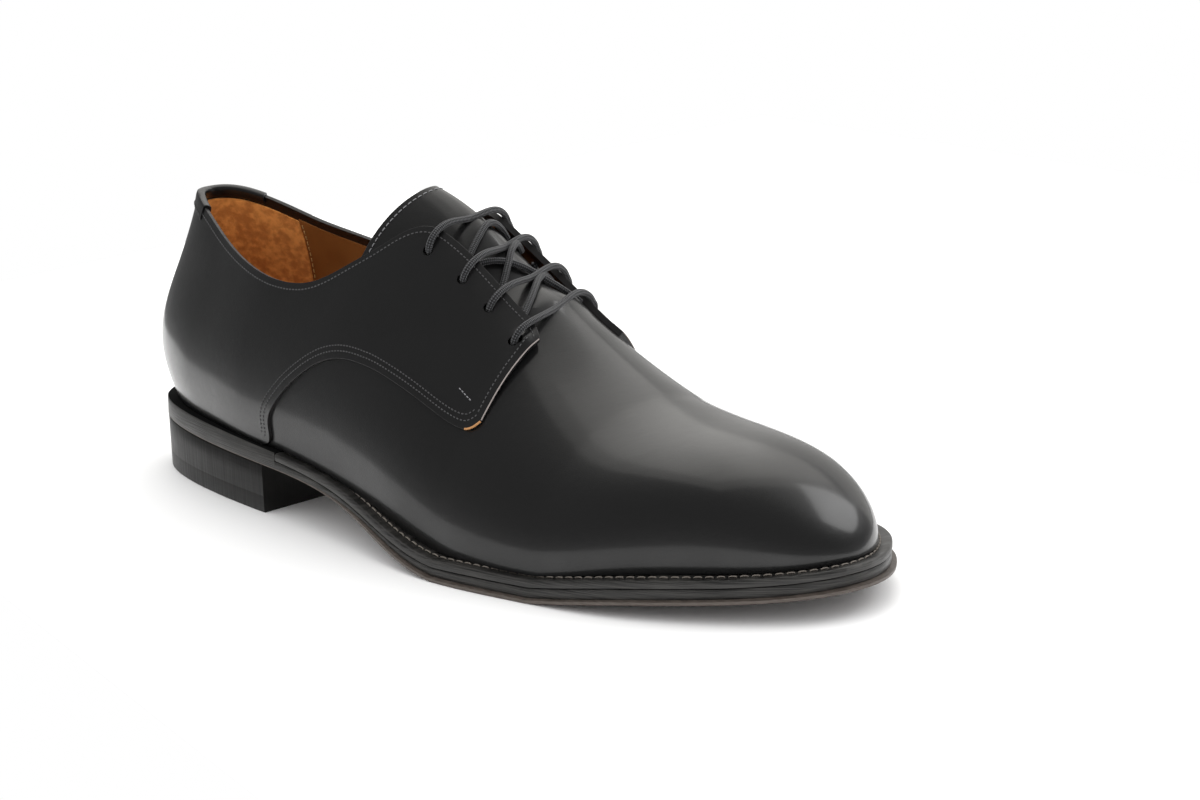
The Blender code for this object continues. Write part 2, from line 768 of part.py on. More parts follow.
BLACK = (0.012, 0.012, 0.013)
SOLE_BLACK = (0.02, 0.019, 0.018)
LACE_BLACK = (0.03, 0.03, 0.032)
TAN = (0.35, 0.16, 0.06)


def centre_on_floor():
    """Put the origin under the middle of the shoe's box."""
    bpy.context.view_layer.update()
    graph = bpy.context.evaluated_depsgraph_get()
    corners = []
    for piece in bpy.data.objects:
        if not piece.hide_render:
            mesh = piece.evaluated_get(graph).to_mesh()
            places = np.array([tuple(vertex.co) for vertex in mesh.vertices])
            corners += [places.min(axis=0), places.max(axis=0)]
    middle = (np.min(corners, axis=0) + np.max(corners, axis=0)) / 2
    for piece in bpy.data.objects:
        piece.location -= Vector((middle[0], middle[1], 0.0))


def main():
    for old in list(bpy.data.objects):
        bpy.data.objects.remove(old)
    make_upper()
    make_tongue()
    make_insole()
    make_welt()
    make_outsole()
    make_heel()
    make_back_tab()
    for row in range(len(EYELET_TABLE)):
        make_lace_bar(row)
    make_lace_crossings()
    centre_on_floor()


main()
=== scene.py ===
# %% [markdown]
# A black derby shoe for the right foot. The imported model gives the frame: metres, heel to toe
# along +X, the foot's inner side at +Y, floor at z = 0. Each piece below replaces a plain solid
# of that frame with the leather, thread or lace that a shoemaker would have used there.

# %% Load the frame
from functools import partial
from math import cos, pi, radians, sin

import bpy
import bmesh
import numpy as np
from mathutils import Matrix, Vector


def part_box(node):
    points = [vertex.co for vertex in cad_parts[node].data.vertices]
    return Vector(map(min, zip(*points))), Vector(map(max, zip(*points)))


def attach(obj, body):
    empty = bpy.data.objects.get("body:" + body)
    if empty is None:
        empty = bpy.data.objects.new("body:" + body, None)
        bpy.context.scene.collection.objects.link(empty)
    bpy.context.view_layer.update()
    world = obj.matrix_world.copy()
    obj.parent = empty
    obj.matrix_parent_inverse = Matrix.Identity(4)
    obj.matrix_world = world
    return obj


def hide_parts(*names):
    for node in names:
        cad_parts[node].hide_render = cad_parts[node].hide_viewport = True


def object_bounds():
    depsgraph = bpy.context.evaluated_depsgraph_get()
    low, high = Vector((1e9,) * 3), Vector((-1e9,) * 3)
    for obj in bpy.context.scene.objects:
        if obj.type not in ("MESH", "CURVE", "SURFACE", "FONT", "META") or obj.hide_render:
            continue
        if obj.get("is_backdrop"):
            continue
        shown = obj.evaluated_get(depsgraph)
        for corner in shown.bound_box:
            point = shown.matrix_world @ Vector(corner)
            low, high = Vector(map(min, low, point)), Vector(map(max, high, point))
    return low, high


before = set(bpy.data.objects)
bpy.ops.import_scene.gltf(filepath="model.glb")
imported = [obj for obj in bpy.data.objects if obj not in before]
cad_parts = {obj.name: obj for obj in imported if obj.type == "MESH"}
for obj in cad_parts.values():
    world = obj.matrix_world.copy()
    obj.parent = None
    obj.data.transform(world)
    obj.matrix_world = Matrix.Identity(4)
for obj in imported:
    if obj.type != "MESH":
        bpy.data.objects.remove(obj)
CAD_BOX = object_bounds()
MM = 0.001
print("nodes:", sorted(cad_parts))

# %% [markdown]
# A shoe is built on a last, a solid foot shape. The same short tables that shaped the solids
# shape the looks: a row for each station along the shoe, in millimetres, and curves through
# them. The leather is laid on that surface, so every seam can be placed by two numbers: the
# turn round the shoe from the back seam, and the height of the section from sole to ridge.

# %% Driving sizes and tables
SOLE_LENGTH = 297.0
FEATHER_HEEL = 3.0
FEATHER_TOE = 5.0
LAP = 1.1
FACING_STAND = {-1: 3.4, 1: 2.3}
GAP = 0.3
WELT_WIDTH = 8.0
WELT_BACK = -62.0
HEEL_BREAST = -69.5
LACE_DIAMETER = 2.2

LAST_COLUMNS = ("station", "half_width", "centre", "height", "ridge_y", "belly", "rise", "shoulder")
LAST_TABLE = (
    (0.00, 0.0, 0.5, 91.0, 1.2, 0.20, 0.33, 0.53),
    (0.04, 18.8, 0.8, 91.0, 1.0, 0.20, 0.33, 0.52),
    (0.12, 29.0, 0.4, 89.0, 1.0, 0.22, 0.35, 0.52),
    (0.24, 32.0, -3.5, 93.0, 0.0, 0.21, 0.41, 0.52),
    (0.36, 32.5, -8.0, 95.0, 0.0, 0.20, 0.43, 0.49),
    (0.48, 37.5, -8.5, 89.5, 2.0, 0.20, 0.42, 0.48),
    (0.60, 46.5, -4.5, 66.8, 4.0, 0.12, 0.47, 0.54),
    (0.70, 50.0, -0.5, 49.0, 4.0, 0.08, 0.52, 0.60),
    (0.80, 46.0, 3.0, 37.8, 4.0, 0.08, 0.62, 0.66),
    (0.90, 35.0, 7.2, 28.8, 6.0, 0.07, 0.70, 0.70),
    (0.97, 20.5, 8.6, 15.2, 8.4, 0.07, 0.67, 0.69),
    (1.00, 0.0, 8.8, 0.0, 8.8, 0.08, 0.69, 0.69),
)
BACK_SEAM_TABLE = ((0.0, 0.0), (0.2, -7.8), (0.4, 0.2), (0.6, 7.4), (0.8, 8.0), (1.0, 8.5))
SOLE_COLUMNS = ("station", "half_width", "centre", "underside", "thickness", "lip")
SOLE_TABLE = (
    (0.00, 0.0, 0.5, 18.3, 6.0, 0.0),
    (0.03, 19.5, 1.2, 18.3, 6.0, 0.0),
    (0.14, 32.1, -0.5, 17.5, 6.3, 0.0),
    (0.26, 35.2, -4.2, 16.8, 5.8, 0.0),
    (0.42, 35.5, -11.0, 12.2, 5.2, 0.4),
    (0.56, 47.0, -8.6, 1.3, 6.7, 1.2),
    (0.69, 53.4, -0.3, -0.7, 7.3, 1.3),
    (0.80, 50.3, 2.8, 3.4, 7.6, 1.3),
    (0.90, 40.6, 8.0, 6.0, 7.5, 1.4),
    (0.97, 22.2, 7.8, 7.6, 7.6, 1.6),
    (1.00, 0.0, 7.2, 8.8, 7.6, 1.8),
)
QUARTER_COLUMNS = ("station", "lower", "outer_side", "inner_side")
QUARTER_TABLE = (
    (0.000, 0.000, 0.612, 0.612),
    (0.050, 0.000, 0.596, 0.596),
    (0.090, 0.000, 0.571, 0.568),
    (0.135, 0.000, 0.529, 0.528),
    (0.184, 0.000, 0.483, 0.488),
    (0.224, 0.000, 0.453, 0.462),
    (0.258, 0.000, 0.438, 0.450),
    (0.275, 0.020, 0.436, 0.447),
    (0.280, 0.073, 0.436, 0.446),
    (0.293, 0.122, 0.438, 0.447),
    (0.317, 0.180, 0.450, 0.455),
    (0.344, 0.235, 0.483, 0.486),
    (0.376, 0.287, 0.546, 0.549),
    (0.409, 0.319, 0.626, 0.648),
    (0.437, 0.335, 0.710, 0.722),
    (0.455, 0.344, 0.750, 0.734),
    (0.480, 0.354, 0.772, 0.716),
    (0.530, 0.374, 0.794, 0.702),
    (0.575, 0.392, 0.814, 0.710),
    (0.600, 0.418, 0.816, 0.716),
    (0.610, 0.460, 0.798, 0.702),
)
VAMP_EDGE_COLUMNS = ("station", "section")
VAMP_EDGE_TABLE = (
    (0.247, 0.050), (0.262, 0.130), (0.290, 0.210), (0.330, 0.290), (0.375, 0.345),
    (0.430, 0.390), (0.470, 0.440), (0.500, 0.520), (0.526, 0.604), (0.548, 0.710),
    (0.568, 0.815), (0.582, 0.910), (0.590, 1.000),
)
SIDES = ((-1, "outer"), (1, "inner"))
EYELET_COLUMNS = ("outer_station", "outer_section", "inner_station", "inner_section")
EYELET_TABLE = (
    (0.466, 0.686, 0.457, 0.640),
    (0.514, 0.706, 0.493, 0.628),
    (0.552, 0.719, 0.530, 0.622),
    (0.593, 0.718, 0.563, 0.630),
)
print("tables:", len(LAST_TABLE), "last stations,", len(SOLE_TABLE), "sole stations")


# %% Curves through the tables
def column(table, names, name):
    place = names.index(name)
    return np.array([row[place] for row in table])


def spline(knots, values, start="flat", end="flat"):
    """A cubic curve through the values; an end is flat (no slope) or free (no bend)."""
    knots = np.asarray(knots, float)
    values = np.asarray(values, float)
    count = len(knots)
    step = np.diff(knots)
    slope = np.diff(values) / step
    matrix = np.zeros((count, count))
    right = np.zeros(count)
    for i in range(1, count - 1):
        matrix[i, i - 1] = step[i - 1]
        matrix[i, i] = 2 * (step[i - 1] + step[i])
        matrix[i, i + 1] = step[i]
        right[i] = 6 * (slope[i] - slope[i - 1])
    matrix[0, 0] = 1
    matrix[-1, -1] = 1
    if start == "flat":
        matrix[0, :2] = (2 * step[0], step[0])
        right[0] = 6 * slope[0]
    if end == "flat":
        matrix[-1, -2:] = (step[-1], 2 * step[-1])
        right[-1] = -6 * slope[-1]
    bend = np.linalg.solve(matrix, right)

    def curve(at):
        at = np.asarray(at, float)
        i = np.clip(np.searchsorted(knots, at) - 1, 0, count - 2)
        h = step[i]
        before = (knots[i + 1] - at) / h
        after = (at - knots[i]) / h
        bow = (before ** 3 - before) * bend[i] + (after ** 3 - after) * bend[i + 1]
        return before * values[i] + after * values[i + 1] + bow * h * h / 6

    return curve


def ease(value, low, high):
    """0 below low, 1 above high, and a smooth step between."""
    t = np.clip((np.asarray(value, float) - low) / (high - low), 0, 1)
    return t * t * (3 - 2 * t)


def angle_of(station):
    return np.arccos(1 - 2 * np.asarray(station, float))


def station_of(angle):
    return (1 - np.cos(angle)) / 2


def unit(vectors):
    return vectors / np.linalg.norm(vectors, axis=-1, keepdims=True)


def lengths_along(points):
    """The length run at each point of a line."""
    return np.concatenate([[0], np.cumsum(np.linalg.norm(np.diff(points, axis=0), axis=1))])


def table_curves(table, names, shapes):
    angles = angle_of(column(table, names, "station"))
    curves = {}
    for name in names[1:]:
        start, end = shapes.get(name, ("flat", "flat"))
        curves[name] = spline(angles, column(table, names, name), start, end)
    return curves


LAST = table_curves(LAST_TABLE, LAST_COLUMNS, {"half_width": ("free", "free"), "height": ("flat", "free")})
SOLE = table_curves(SOLE_TABLE, SOLE_COLUMNS, {"half_width": ("free", "free")})
BACK_SEAM = spline(*zip(*BACK_SEAM_TABLE), "free", "free")
QUARTER = table_curves(
    QUARTER_TABLE, QUARTER_COLUMNS, {"outer_side": ("flat", "free"), "inner_side": ("flat", "free")}
)
SOLE_BACK = -SOLE_LENGTH / 2
LAST_BACK = SOLE_BACK + FEATHER_HEEL
LAST_LENGTH = SOLE_LENGTH - FEATHER_HEEL - FEATHER_TOE
print("the upper's foot runs from x", LAST_BACK, "to", LAST_BACK + LAST_LENGTH)


# %% [markdown]
# The last's surface is worked out in millimetres before the shoe is centred. The outsole of the
# frame says how far the centring moved it, so every point goes through one shift.

# %% The last's surface
def quarter_top(turn):
    angle = np.abs(turn)
    return np.where(turn < 0, QUARTER["outer_side"](angle), QUARTER["inner_side"](angle))


def sole_angle(x):
    return angle_of(np.clip((np.asarray(x) - SOLE_BACK) / SOLE_LENGTH, 0, 1))


def underside(x):
    return np.maximum(SOLE["underside"](sole_angle(x)), 0)


def sole_top(x):
    return underside(x) + SOLE["thickness"](sole_angle(x))


def last_point(turn, section):
    """A point on the last: turn runs from the back seam, minus on the outer side, to the toe."""
    turn = np.mod(np.asarray(turn, float) + pi, 2 * pi) - pi
    side = np.where(turn < 0, -1.0, 1.0)
    angle = np.abs(turn)
    shape = {name: curve(angle) for name, curve in LAST.items()}
    low = (1 - section) ** 3
    belly = 3 * (1 - section) ** 2 * section
    shoulder = 3 * (1 - section) * section ** 2
    ridge = section ** 3
    spread = shape["half_width"] * (low + belly * (1 + shape["belly"]) + shoulder * shape["shoulder"])
    lean = (shape["ridge_y"] - shape["centre"]) * (shoulder + ridge)
    climb = shape["height"] * (belly * shape["rise"] + shoulder + ridge)
    feather_x = LAST_BACK + LAST_LENGTH * station_of(angle)
    x = feather_x + BACK_SEAM(section) * ((1 + np.cos(angle)) / 2) ** 3
    y = shape["centre"] + side * spread + lean
    z = sole_top(feather_x) + GAP + climb
    return np.stack(np.broadcast_arrays(x, y, z), -1)


def last_normal(turn, section):
    small = 1e-4
    along = last_point(turn + small, section) - last_point(turn - small, section)
    upward = last_point(turn, section + small) - last_point(turn, section - small)
    normal = np.cross(upward, along)
    length = np.linalg.norm(normal, axis=-1, keepdims=True)
    forward = np.zeros_like(normal)
    forward[..., 0] = 1
    return np.where(length > 1e-12, normal / np.maximum(length, 1e-12), forward)


def on_last(turn, section, stand):
    turn = np.asarray(turn, float)
    section = np.asarray(section, float)
    return last_point(turn, section) + last_normal(turn, section) * np.asarray(stand, float)[..., None]


def sole_outline(angle, side, inset=0.0):
    """A point of the sole's outline, set in by this much across its edge."""
    def edge(at):
        x = SOLE_BACK + SOLE_LENGTH * station_of(at)
        y = SOLE["centre"](at) + side * SOLE["half_width"](at)
        return np.stack([x, y], -1)

    angle = np.asarray(angle, float)
    small = 1e-3
    tangent = edge(np.clip(angle + small, 0, pi)) - edge(np.clip(angle - small, 0, pi))
    tangent[angle < small] = (0, side)
    tangent[angle > pi - small] = (0, -side)
    tangent = unit(tangent)
    inward = np.stack([side * tangent[..., 1], -side * tangent[..., 0]], -1)
    return edge(angle) + inward * np.asarray(inset, float)[..., None]


SIDE_ANGLES = np.linspace(0, pi, 721)
RIM = np.concatenate([sole_outline(SIDE_ANGLES, side, -SOLE["lip"](SIDE_ANGLES)) for side in (-1, 1)])
OUTSOLE_LOW, OUTSOLE_HIGH = (np.array(corner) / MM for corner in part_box("outsole"))
SHIFT = np.append((OUTSOLE_LOW[:2] + OUTSOLE_HIGH[:2] - RIM.min(axis=0) - RIM.max(axis=0)) / 2, 0.0)
print("centring moved the shoe by", np.round(SHIFT, 2), "mm")


# %% [markdown]
# Studio pictures of black shoes are lit to draw their shape: a white table throws a light band
# along the low sides, a broad soft box overhead lays a sheen on the vamp, a tall one behind
# carries it on to the far edge, and a small one makes the bright patch on the toe. The camera
# stands 15 degrees up with a long lens.

# %% Camera
IMAGE_WIDTH = 1200
ORBIT_MIDDLE = np.array([0.0, 0.0, 30.0])
CAMERA_FIT = np.array([1.5, 0.0, 0.0])


def put_in_scene(name, data):
    made = bpy.data.objects.new(name, data)
    bpy.context.scene.collection.objects.link(made)
    return made


def camera_at(azimuth, elevation, distance, target, roll, focal_px):
    """A camera that looks from azimuth and elevation at target, its focal length in pixels."""
    az = radians(azimuth)
    el = radians(elevation)
    away = np.array([sin(az) * cos(el), -cos(az) * cos(el), sin(el)])
    place = ORBIT_MIDDLE + distance * away
    forward = unit(np.array(target) - place)
    right = unit(np.cross(forward, (0, 0, 1)))
    up = np.cross(right, forward)
    turn = radians(roll)
    tilted_right = right * cos(turn) + up * sin(turn)
    tilted_up = up * cos(turn) - right * sin(turn)
    camera = bpy.data.cameras.new("camera")
    camera.lens = camera.sensor_width * focal_px / IMAGE_WIDTH
    camera.clip_end = 50
    stand = put_in_scene("camera", camera)
    axes = Matrix((tilted_right, tilted_up, -forward)).transposed().to_4x4()
    stand.matrix_world = Matrix.Translation(Vector((place + SHIFT - CAMERA_FIT) * MM)) @ axes
    bpy.context.scene.camera = stand
    return stand


camera = camera_at(
    azimuth=44.6, elevation=15.15, distance=1322.6, target=(47.4, 0.0, 50.5), roll=-0.53, focal_px=4091.8
)
print("camera at", [round(c, 3) for c in camera.location], "lens", round(camera.data.lens, 1))

# %% [markdown]
# A finish is a Principled material whose colour, roughness and relief change over the surface.
# The small class below lets those changes be written as sums: every operator adds its node.


# %% Shader sums and finishes
class Wire:
    """A socket in a sum. Numbers and other wires may stand on either side of it."""

    def __init__(self, finish, socket):
        self.finish = finish
        self.socket = socket

    def math(self, operation, *values):
        return self.finish.wire("ShaderNodeMath", {"operation": operation}, dict(enumerate(values)))

    def __add__(self, other):
        return self.math("ADD", self, other)

    def __sub__(self, other):
        return self.math("SUBTRACT", self, other)

    def __rsub__(self, other):
        return self.math("SUBTRACT", other, self)

    def __mul__(self, other):
        return self.math("MULTIPLY", self, other)

    def sine(self):
        return self.math("SINE", self)

    __radd__ = __add__
    __rmul__ = __mul__


class Finish:
    """A material made from its base colour and roughness, with nodes added by name."""

    def __init__(self, name, colour, roughness, **uniform):
        self.material = bpy.data.materials.new(name)
        self.material.use_nodes = True
        self.tree = self.material.node_tree
        self.shader = self.tree.nodes["Principled BSDF"]
        self.set("Base Color", (*colour, 1.0))
        self.set("Roughness", roughness)
        for socket, value in uniform.items():
            self.set(socket.replace("_", " "), value)

    def set(self, socket, value):
        self.connect(self.shader.inputs[socket], value)

    def connect(self, socket, value):
        if isinstance(value, Wire):
            self.tree.links.new(value.socket, socket)
        else:
            socket.default_value = value

    def wire(self, kind, settings, sockets, output=0):
        """A node of this kind, its settings first and then its sockets, as one of its outputs."""
        node = self.tree.nodes.new(kind)
        for name, value in settings.items():
            setattr(node, name, value)
        for name, value in sockets.items():
            self.connect(node.inputs[name], value)
        return Wire(self, node.outputs[output])

    def place(self, stretch=(1, 1, 1)):
        """The object's own coordinates in metres, stretched."""
        own = self.wire("ShaderNodeTexCoord", {}, {}, "Object")
        return self.wire("ShaderNodeMapping", {}, {"Vector": own, "Scale": stretch})

    def uv(self, axis):
        spread = self.wire("ShaderNodeTexCoord", {}, {}, "UV")
        return self.wire("ShaderNodeSeparateXYZ", {}, {0: spread}, axis)

    def noise(self, scale, detail=2.0, stretch=(1, 1, 1)):
        sockets = {"Vector": self.place(stretch), "Scale": scale, "Detail": detail}
        return self.wire("ShaderNodeTexNoise", {}, sockets)

    def cells(self, scale):
        sockets = {"Vector": self.place(), "Scale": scale}
        return self.wire("ShaderNodeTexVoronoi", {"feature": "DISTANCE_TO_EDGE"}, sockets)

    def ramp(self, value, low, high, start=0.0, end=1.0):
        sockets = {"Value": value, "From Min": low, "From Max": high, "To Min": start, "To Max": end}
        return self.wire("ShaderNodeMapRange", {"interpolation_type": "SMOOTHSTEP"}, sockets)

    def tint(self, pattern, low, high, dark, light):
        """The base colour goes from dark to light where the pattern goes from low to high."""
        sockets = {0: self.ramp(pattern, low, high), 6: (*dark, 1.0), 7: (*light, 1.0)}
        self.set("Base Color", self.wire("ShaderNodeMix", {"data_type": "RGBA"}, sockets, 2))

    def gloss(self, pattern, smooth, rough):
        self.set("Roughness", self.ramp(pattern, 0.3, 0.7, smooth, rough))

    def relief(self, height, depth):
        """Bump of this depth in metres where height goes from 0 to 1."""
        sockets = {"Height": height, "Distance": depth}
        self.set("Normal", self.wire("ShaderNodeBump", {}, sockets))


print("shader helpers ready")

# %% [markdown]
# Box calf is chrome tanned calf, plated smooth and polished with wax. Close up it has fine
# pores and a faint cell grain, and over a hand's width its gloss drifts a little. A clear coat
# over a rougher black base gives the crisp reflection with a soft bloom round it.


# %% The finishes
def polished_calf():
    finish = Finish("polished_calf", (0.005, 0.005, 0.0052), 0.3, Specular_IOR_Level=0.3,
                    Coat_Roughness=0.15, Coat_IOR=1.5)
    pores = finish.noise(2600.0, 3.0)
    cells = finish.ramp(finish.cells(1500.0), 0.0, 0.12)
    drift = finish.noise(28.0)
    streak = finish.noise(1.0, 3.0, (260, 60, 420))
    finish.gloss(drift, 0.3, 0.42)
    finish.set("Coat Weight", finish.ramp(drift, 0.3, 0.7, 0.72, 0.54))
    finish.relief(pores * 0.2 + cells * 0.15 + streak * 0.65, 0.00009)
    return finish.material


def edge_dye():
    finish = Finish("edge_dye", (0.012, 0.011, 0.011), 0.38)
    finish.gloss(finish.noise(900.0), 0.28, 0.5)
    finish.relief(finish.noise(1500.0, 3.0), 0.00005)
    return finish.material


def suede_grip():
    finish = Finish("suede_grip", (0.6, 0.22, 0.05), 0.95, Sheen_Weight=0.3, Sheen_Roughness=0.5,
                    Sheen_Tint=(0.9, 0.5, 0.2, 1.0))
    nap = finish.noise(420.0, 5.0)
    rub = finish.noise(95.0, 3.0)
    finish.tint(nap * 0.55 + rub * 0.45, 0.38, 0.62, (0.50, 0.17, 0.032), (0.82, 0.33, 0.075))
    finish.relief(nap * 0.6 + rub * 0.4, 0.0006)
    return finish.material


def tan_lining():
    finish = Finish("tan_lining", (0.24, 0.09, 0.022), 0.5, Coat_Roughness=0.4)
    cloud = finish.noise(40.0, 3.0)
    finish.tint(cloud, 0.35, 0.65, (0.19, 0.062, 0.011), (0.25, 0.09, 0.018))
    finish.gloss(cloud, 0.42, 0.58)
    finish.relief(finish.noise(1800.0, 3.0), 0.00008)
    return finish.material


def edge_waxed():
    """Sole and welt edge: stained, ironed and waxed, with fine lines along the fibres."""
    finish = Finish("edge_waxed", (0.022, 0.021, 0.019), 0.4)
    lines = finish.noise(1.0, 3.0, (60, 60, 2600))
    blotch = finish.noise(90.0)
    finish.tint(lines, 0.35, 0.7, (0.012, 0.0115, 0.011), (0.04, 0.038, 0.035))
    finish.gloss(lines * 0.7 + blotch * 0.3, 0.3, 0.52)
    finish.relief(lines, 0.00022)
    return finish.material


def heel_waxed():
    """The heel block: brushed upright, with the joints of its lifts just showing."""
    finish = Finish("heel_waxed", (0.008, 0.0075, 0.007), 0.4, Specular_IOR_Level=0.2)
    brush = finish.noise(1.0, 2.0, (900, 900, 25))
    lifts = finish.noise(1.0, 2.0, (30, 30, 1300))
    blotch = finish.noise(70.0, 3.0)
    finish.tint(blotch, 0.3, 0.7, (0.006, 0.0057, 0.0054), (0.011, 0.0104, 0.01))
    finish.gloss(brush * 0.6 + blotch * 0.4, 0.3, 0.46)
    finish.relief(brush * 0.5 + lifts * 0.35, 0.00012)
    return finish.material


def lip_leather():
    finish = Finish("lip_leather", (0.09, 0.075, 0.062), 0.5)
    fibre = finish.noise(1.0, 3.0, (300, 300, 3000))
    finish.tint(fibre, 0.3, 0.7, (0.065, 0.052, 0.043), (0.10, 0.082, 0.07))
    finish.relief(fibre, 0.0001)
    return finish.material


def shade_painted_ledge():
    """The sole's top beside the heel: painted shade, near black and dull where the upper's bulge shades
    it.
    """
    finish = Finish("shade_painted_ledge", (0.004, 0.004, 0.004), 0.8, Specular_IOR_Level=0.1)
    finish.relief(finish.noise(1200.0), 0.00008)
    return finish.material


def sole_under():
    finish = Finish("sole_under", (0.03, 0.012, 0.008), 0.45)
    finish.tint(finish.noise(35.0, 4.0), 0.3, 0.7, (0.022, 0.01, 0.007), (0.045, 0.018, 0.012))
    finish.relief(finish.noise(1400.0, 3.0), 0.00008)
    return finish.material


BRAID_ROUND = 4.0
BRAID_ALONG = 1.7


def waxed_lace():
    """A round braid: two sets of strands wind opposite ways, checked over each other."""
    finish = Finish("waxed_lace", (0.03, 0.031, 0.034), 0.62, Sheen_Weight=0.15)
    round_way = finish.uv("X") * (2 * pi * BRAID_ROUND)
    along_way = finish.uv("Y") * (2 * pi * BRAID_ALONG)
    weave_relief_and_shade = (round_way + along_way).sine() * (round_way - along_way).sine()
    # The weave's tint is painted light and shade: a painted highlight on the strands' crowns and painted
    # shade in the grooves between them.
    finish.tint(weave_relief_and_shade, 0.0, 0.85, (0.005, 0.005, 0.006), (0.075, 0.077, 0.085))
    finish.relief(finish.ramp(weave_relief_and_shade, -1.0, 1.0), 0.00025)
    return finish.material


def thread(name, colour, roughness):
    finish = Finish(name, colour, roughness)
    finish.relief(finish.noise(4000.0), 0.00004)
    return finish.material


CALF = polished_calf()
EDGE = edge_dye()
SUEDE = suede_grip()
LINING = tan_lining()
WAXED = edge_waxed()
HEEL_WAX = heel_waxed()
LIP = lip_leather()
SHADE_PAINTED_LEDGE = shade_painted_ledge()
UNDER = sole_under()
LACE = waxed_lace()
BLACK_THREAD = thread("black_thread", (0.06, 0.06, 0.062), 0.38)
TAN_THREAD = thread("tan_thread", (0.5, 0.3, 0.12), 0.6)
PALE_THREAD = thread("pale_thread", (0.22, 0.22, 0.23), 0.45)
WELT_THREAD = thread("welt_thread", (0.16, 0.14, 0.12), 0.6)
CUT_EDGE = thread("cut_edge", (0.30, 0.26, 0.245), 0.5)
RAW_EDGE = thread("raw_edge", (0.42, 0.20, 0.07), 0.7)
print("finishes:", len(bpy.data.materials))


# %% [markdown]
# Leather pieces are cut flat and drawn over the last. Here each one is a fine grid of points
# on the last, given the leather's thickness, and its cut edges are rounded by a small bevel.
# A modifier such as Solidify would do it too, but then the inside could not follow the last.

# %% Leather from grids
def new_piece(name, points, faces, materials, slot, node, face_slots=None):
    """A smooth piece from points in the last's millimetres, riding on the shoe."""
    mesh = bpy.data.meshes.new(name)
    mesh.from_pydata([tuple(p) for p in (np.asarray(points) + SHIFT) * MM], [], faces)
    for material in materials:
        mesh.materials.append(material)
    if face_slots is not None:
        mesh.polygons.foreach_set("material_index", face_slots)
    mesh.validate()
    mesh.shade_smooth()
    mesh.set_sharp_from_angle(angle=radians(48))
    piece = put_in_scene(name, mesh)
    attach(piece, "root")
    if node:
        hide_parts(node)
    return piece


def round_edges(piece, width):
    bevel = piece.modifiers.new("round", "BEVEL")
    bevel.width = width * MM
    bevel.segments = 2
    bevel.limit_method = "ANGLE"
    bevel.angle_limit = radians(50)


def weld(points, faces):
    """Points that share a place become one, and faces that lose their area go.

    It gives the points to keep, the faces between them and the numbers of the faces kept.
    """
    rounded = np.round(points, 4)
    _, first, place = np.unique(rounded, axis=0, return_index=True, return_inverse=True)
    place = place.reshape(-1)
    welded = []
    kept = []
    for number, face in enumerate(faces):
        ring = []
        for index in face:
            if place[index] not in ring:
                ring.append(int(place[index]))
        if len(ring) > 2:
            welded.append(ring)
            kept.append(number)
    return first, welded, kept


def leather(name, grids, stand, wall, materials, slot, node=None):
    """A sheet on the last: grids of turn and section, its outside at stand, this wall thick.

    The first material is the outside's, the last one the cut edge's, one between the inside's.
    """
    turns = np.concatenate([turn.ravel() for turn, section in grids])
    sections = np.concatenate([section.ravel() for turn, section in grids])
    faces = []
    first = 0
    for turn, section in grids:
        rows = turn.shape[1]
        for c in range(turn.shape[0] - 1):
            for r in range(rows - 1):
                a = first + c * rows + r
                faces.append((a, a + rows, a + rows + 1, a + 1))
        first += turn.size
    chosen, faces, kept = weld(last_point(turns, sections), faces)
    turns = turns[chosen]
    sections = sections[chosen]
    height = stand(np.mod(turns + pi, 2 * pi) - pi, sections)
    outer = on_last(turns, sections, height)
    depth = wall(turns, sections) if callable(wall) else wall
    inner = on_last(turns, sections, height - depth)
    count = len(chosen)
    edges = set()
    for face in faces:
        edges.update(zip(face, face[1:] + face[:1]))
    rim = [[b, a, a + count, b + count] for a, b in edges if (b, a) not in edges]
    closed = faces + [[i + count for i in reversed(face)] for face in faces] + rim
    middle = 1 if len(materials) > 2 else 0
    slots = [0] * len(faces) + [middle] * len(faces) + [len(materials) - 1] * len(rim)
    piece = new_piece(name, np.concatenate([outer, inner]), closed, materials, slot, node, slots)
    print(name, len(piece.data.vertices), "points")
    return piece


def along(points, count):
    """Evenly placed points along a smooth curve through a few."""
    points = np.asarray(points, float)
    run = lengths_along(points)
    curves = [spline(run, points[:, k], "free", "free") for k in range(points.shape[1])]
    fine = np.linspace(0, run[-1], count * 6)
    path = np.stack([curve(fine) for curve in curves], -1)
    length = lengths_along(path)
    at = np.interp(np.linspace(0, length[-1], count), length, fine)
    return np.stack([curve(at) for curve in curves], -1)


# %% [markdown]
# The vamp covers the toe and runs back in two wings under the quarters. Its top is drawn tight,
# so it stays the last's own shape.

# %% Vamp
VAMP_WALL = 1.3
QUARTER_WALL = 1.45
FACING_WALL = 2.2
PULLED_LEATHER = 1.3


def quarter_stand(turn, section):
    """A quarter laps over the vamp, and its facing stands proud where the lace pulls on it."""
    turn = np.asarray(turn, float)
    station = station_of(np.abs(turn))
    lap = LAP * ease(station, 0.12, 0.24)
    full = np.where(turn < 0, FACING_STAND[-1], FACING_STAND[1])
    facing = (full - LAP) * ease(section, 0.45, 0.74) * ease(station, 0.36, 0.46)
    pulled = np.exp(-((station - 0.601) / 0.008) ** 2 - ((section - 0.748) / 0.035) ** 2)
    return lap + facing + PULLED_LEATHER * np.where(turn < 0, pulled, 0.0)


def quarter_wall(turn, section):
    """The facings are of two leathers, which makes their edge thick."""
    station = station_of(np.abs(np.mod(np.asarray(turn) + pi, 2 * pi) - pi))
    doubled = ease(section, 0.58, 0.68) * ease(station, 0.40, 0.46)
    return QUARTER_WALL + (FACING_WALL - QUARTER_WALL) * doubled


def vamp_stand(turn, section):
    return np.zeros(np.broadcast(turn, section).shape)


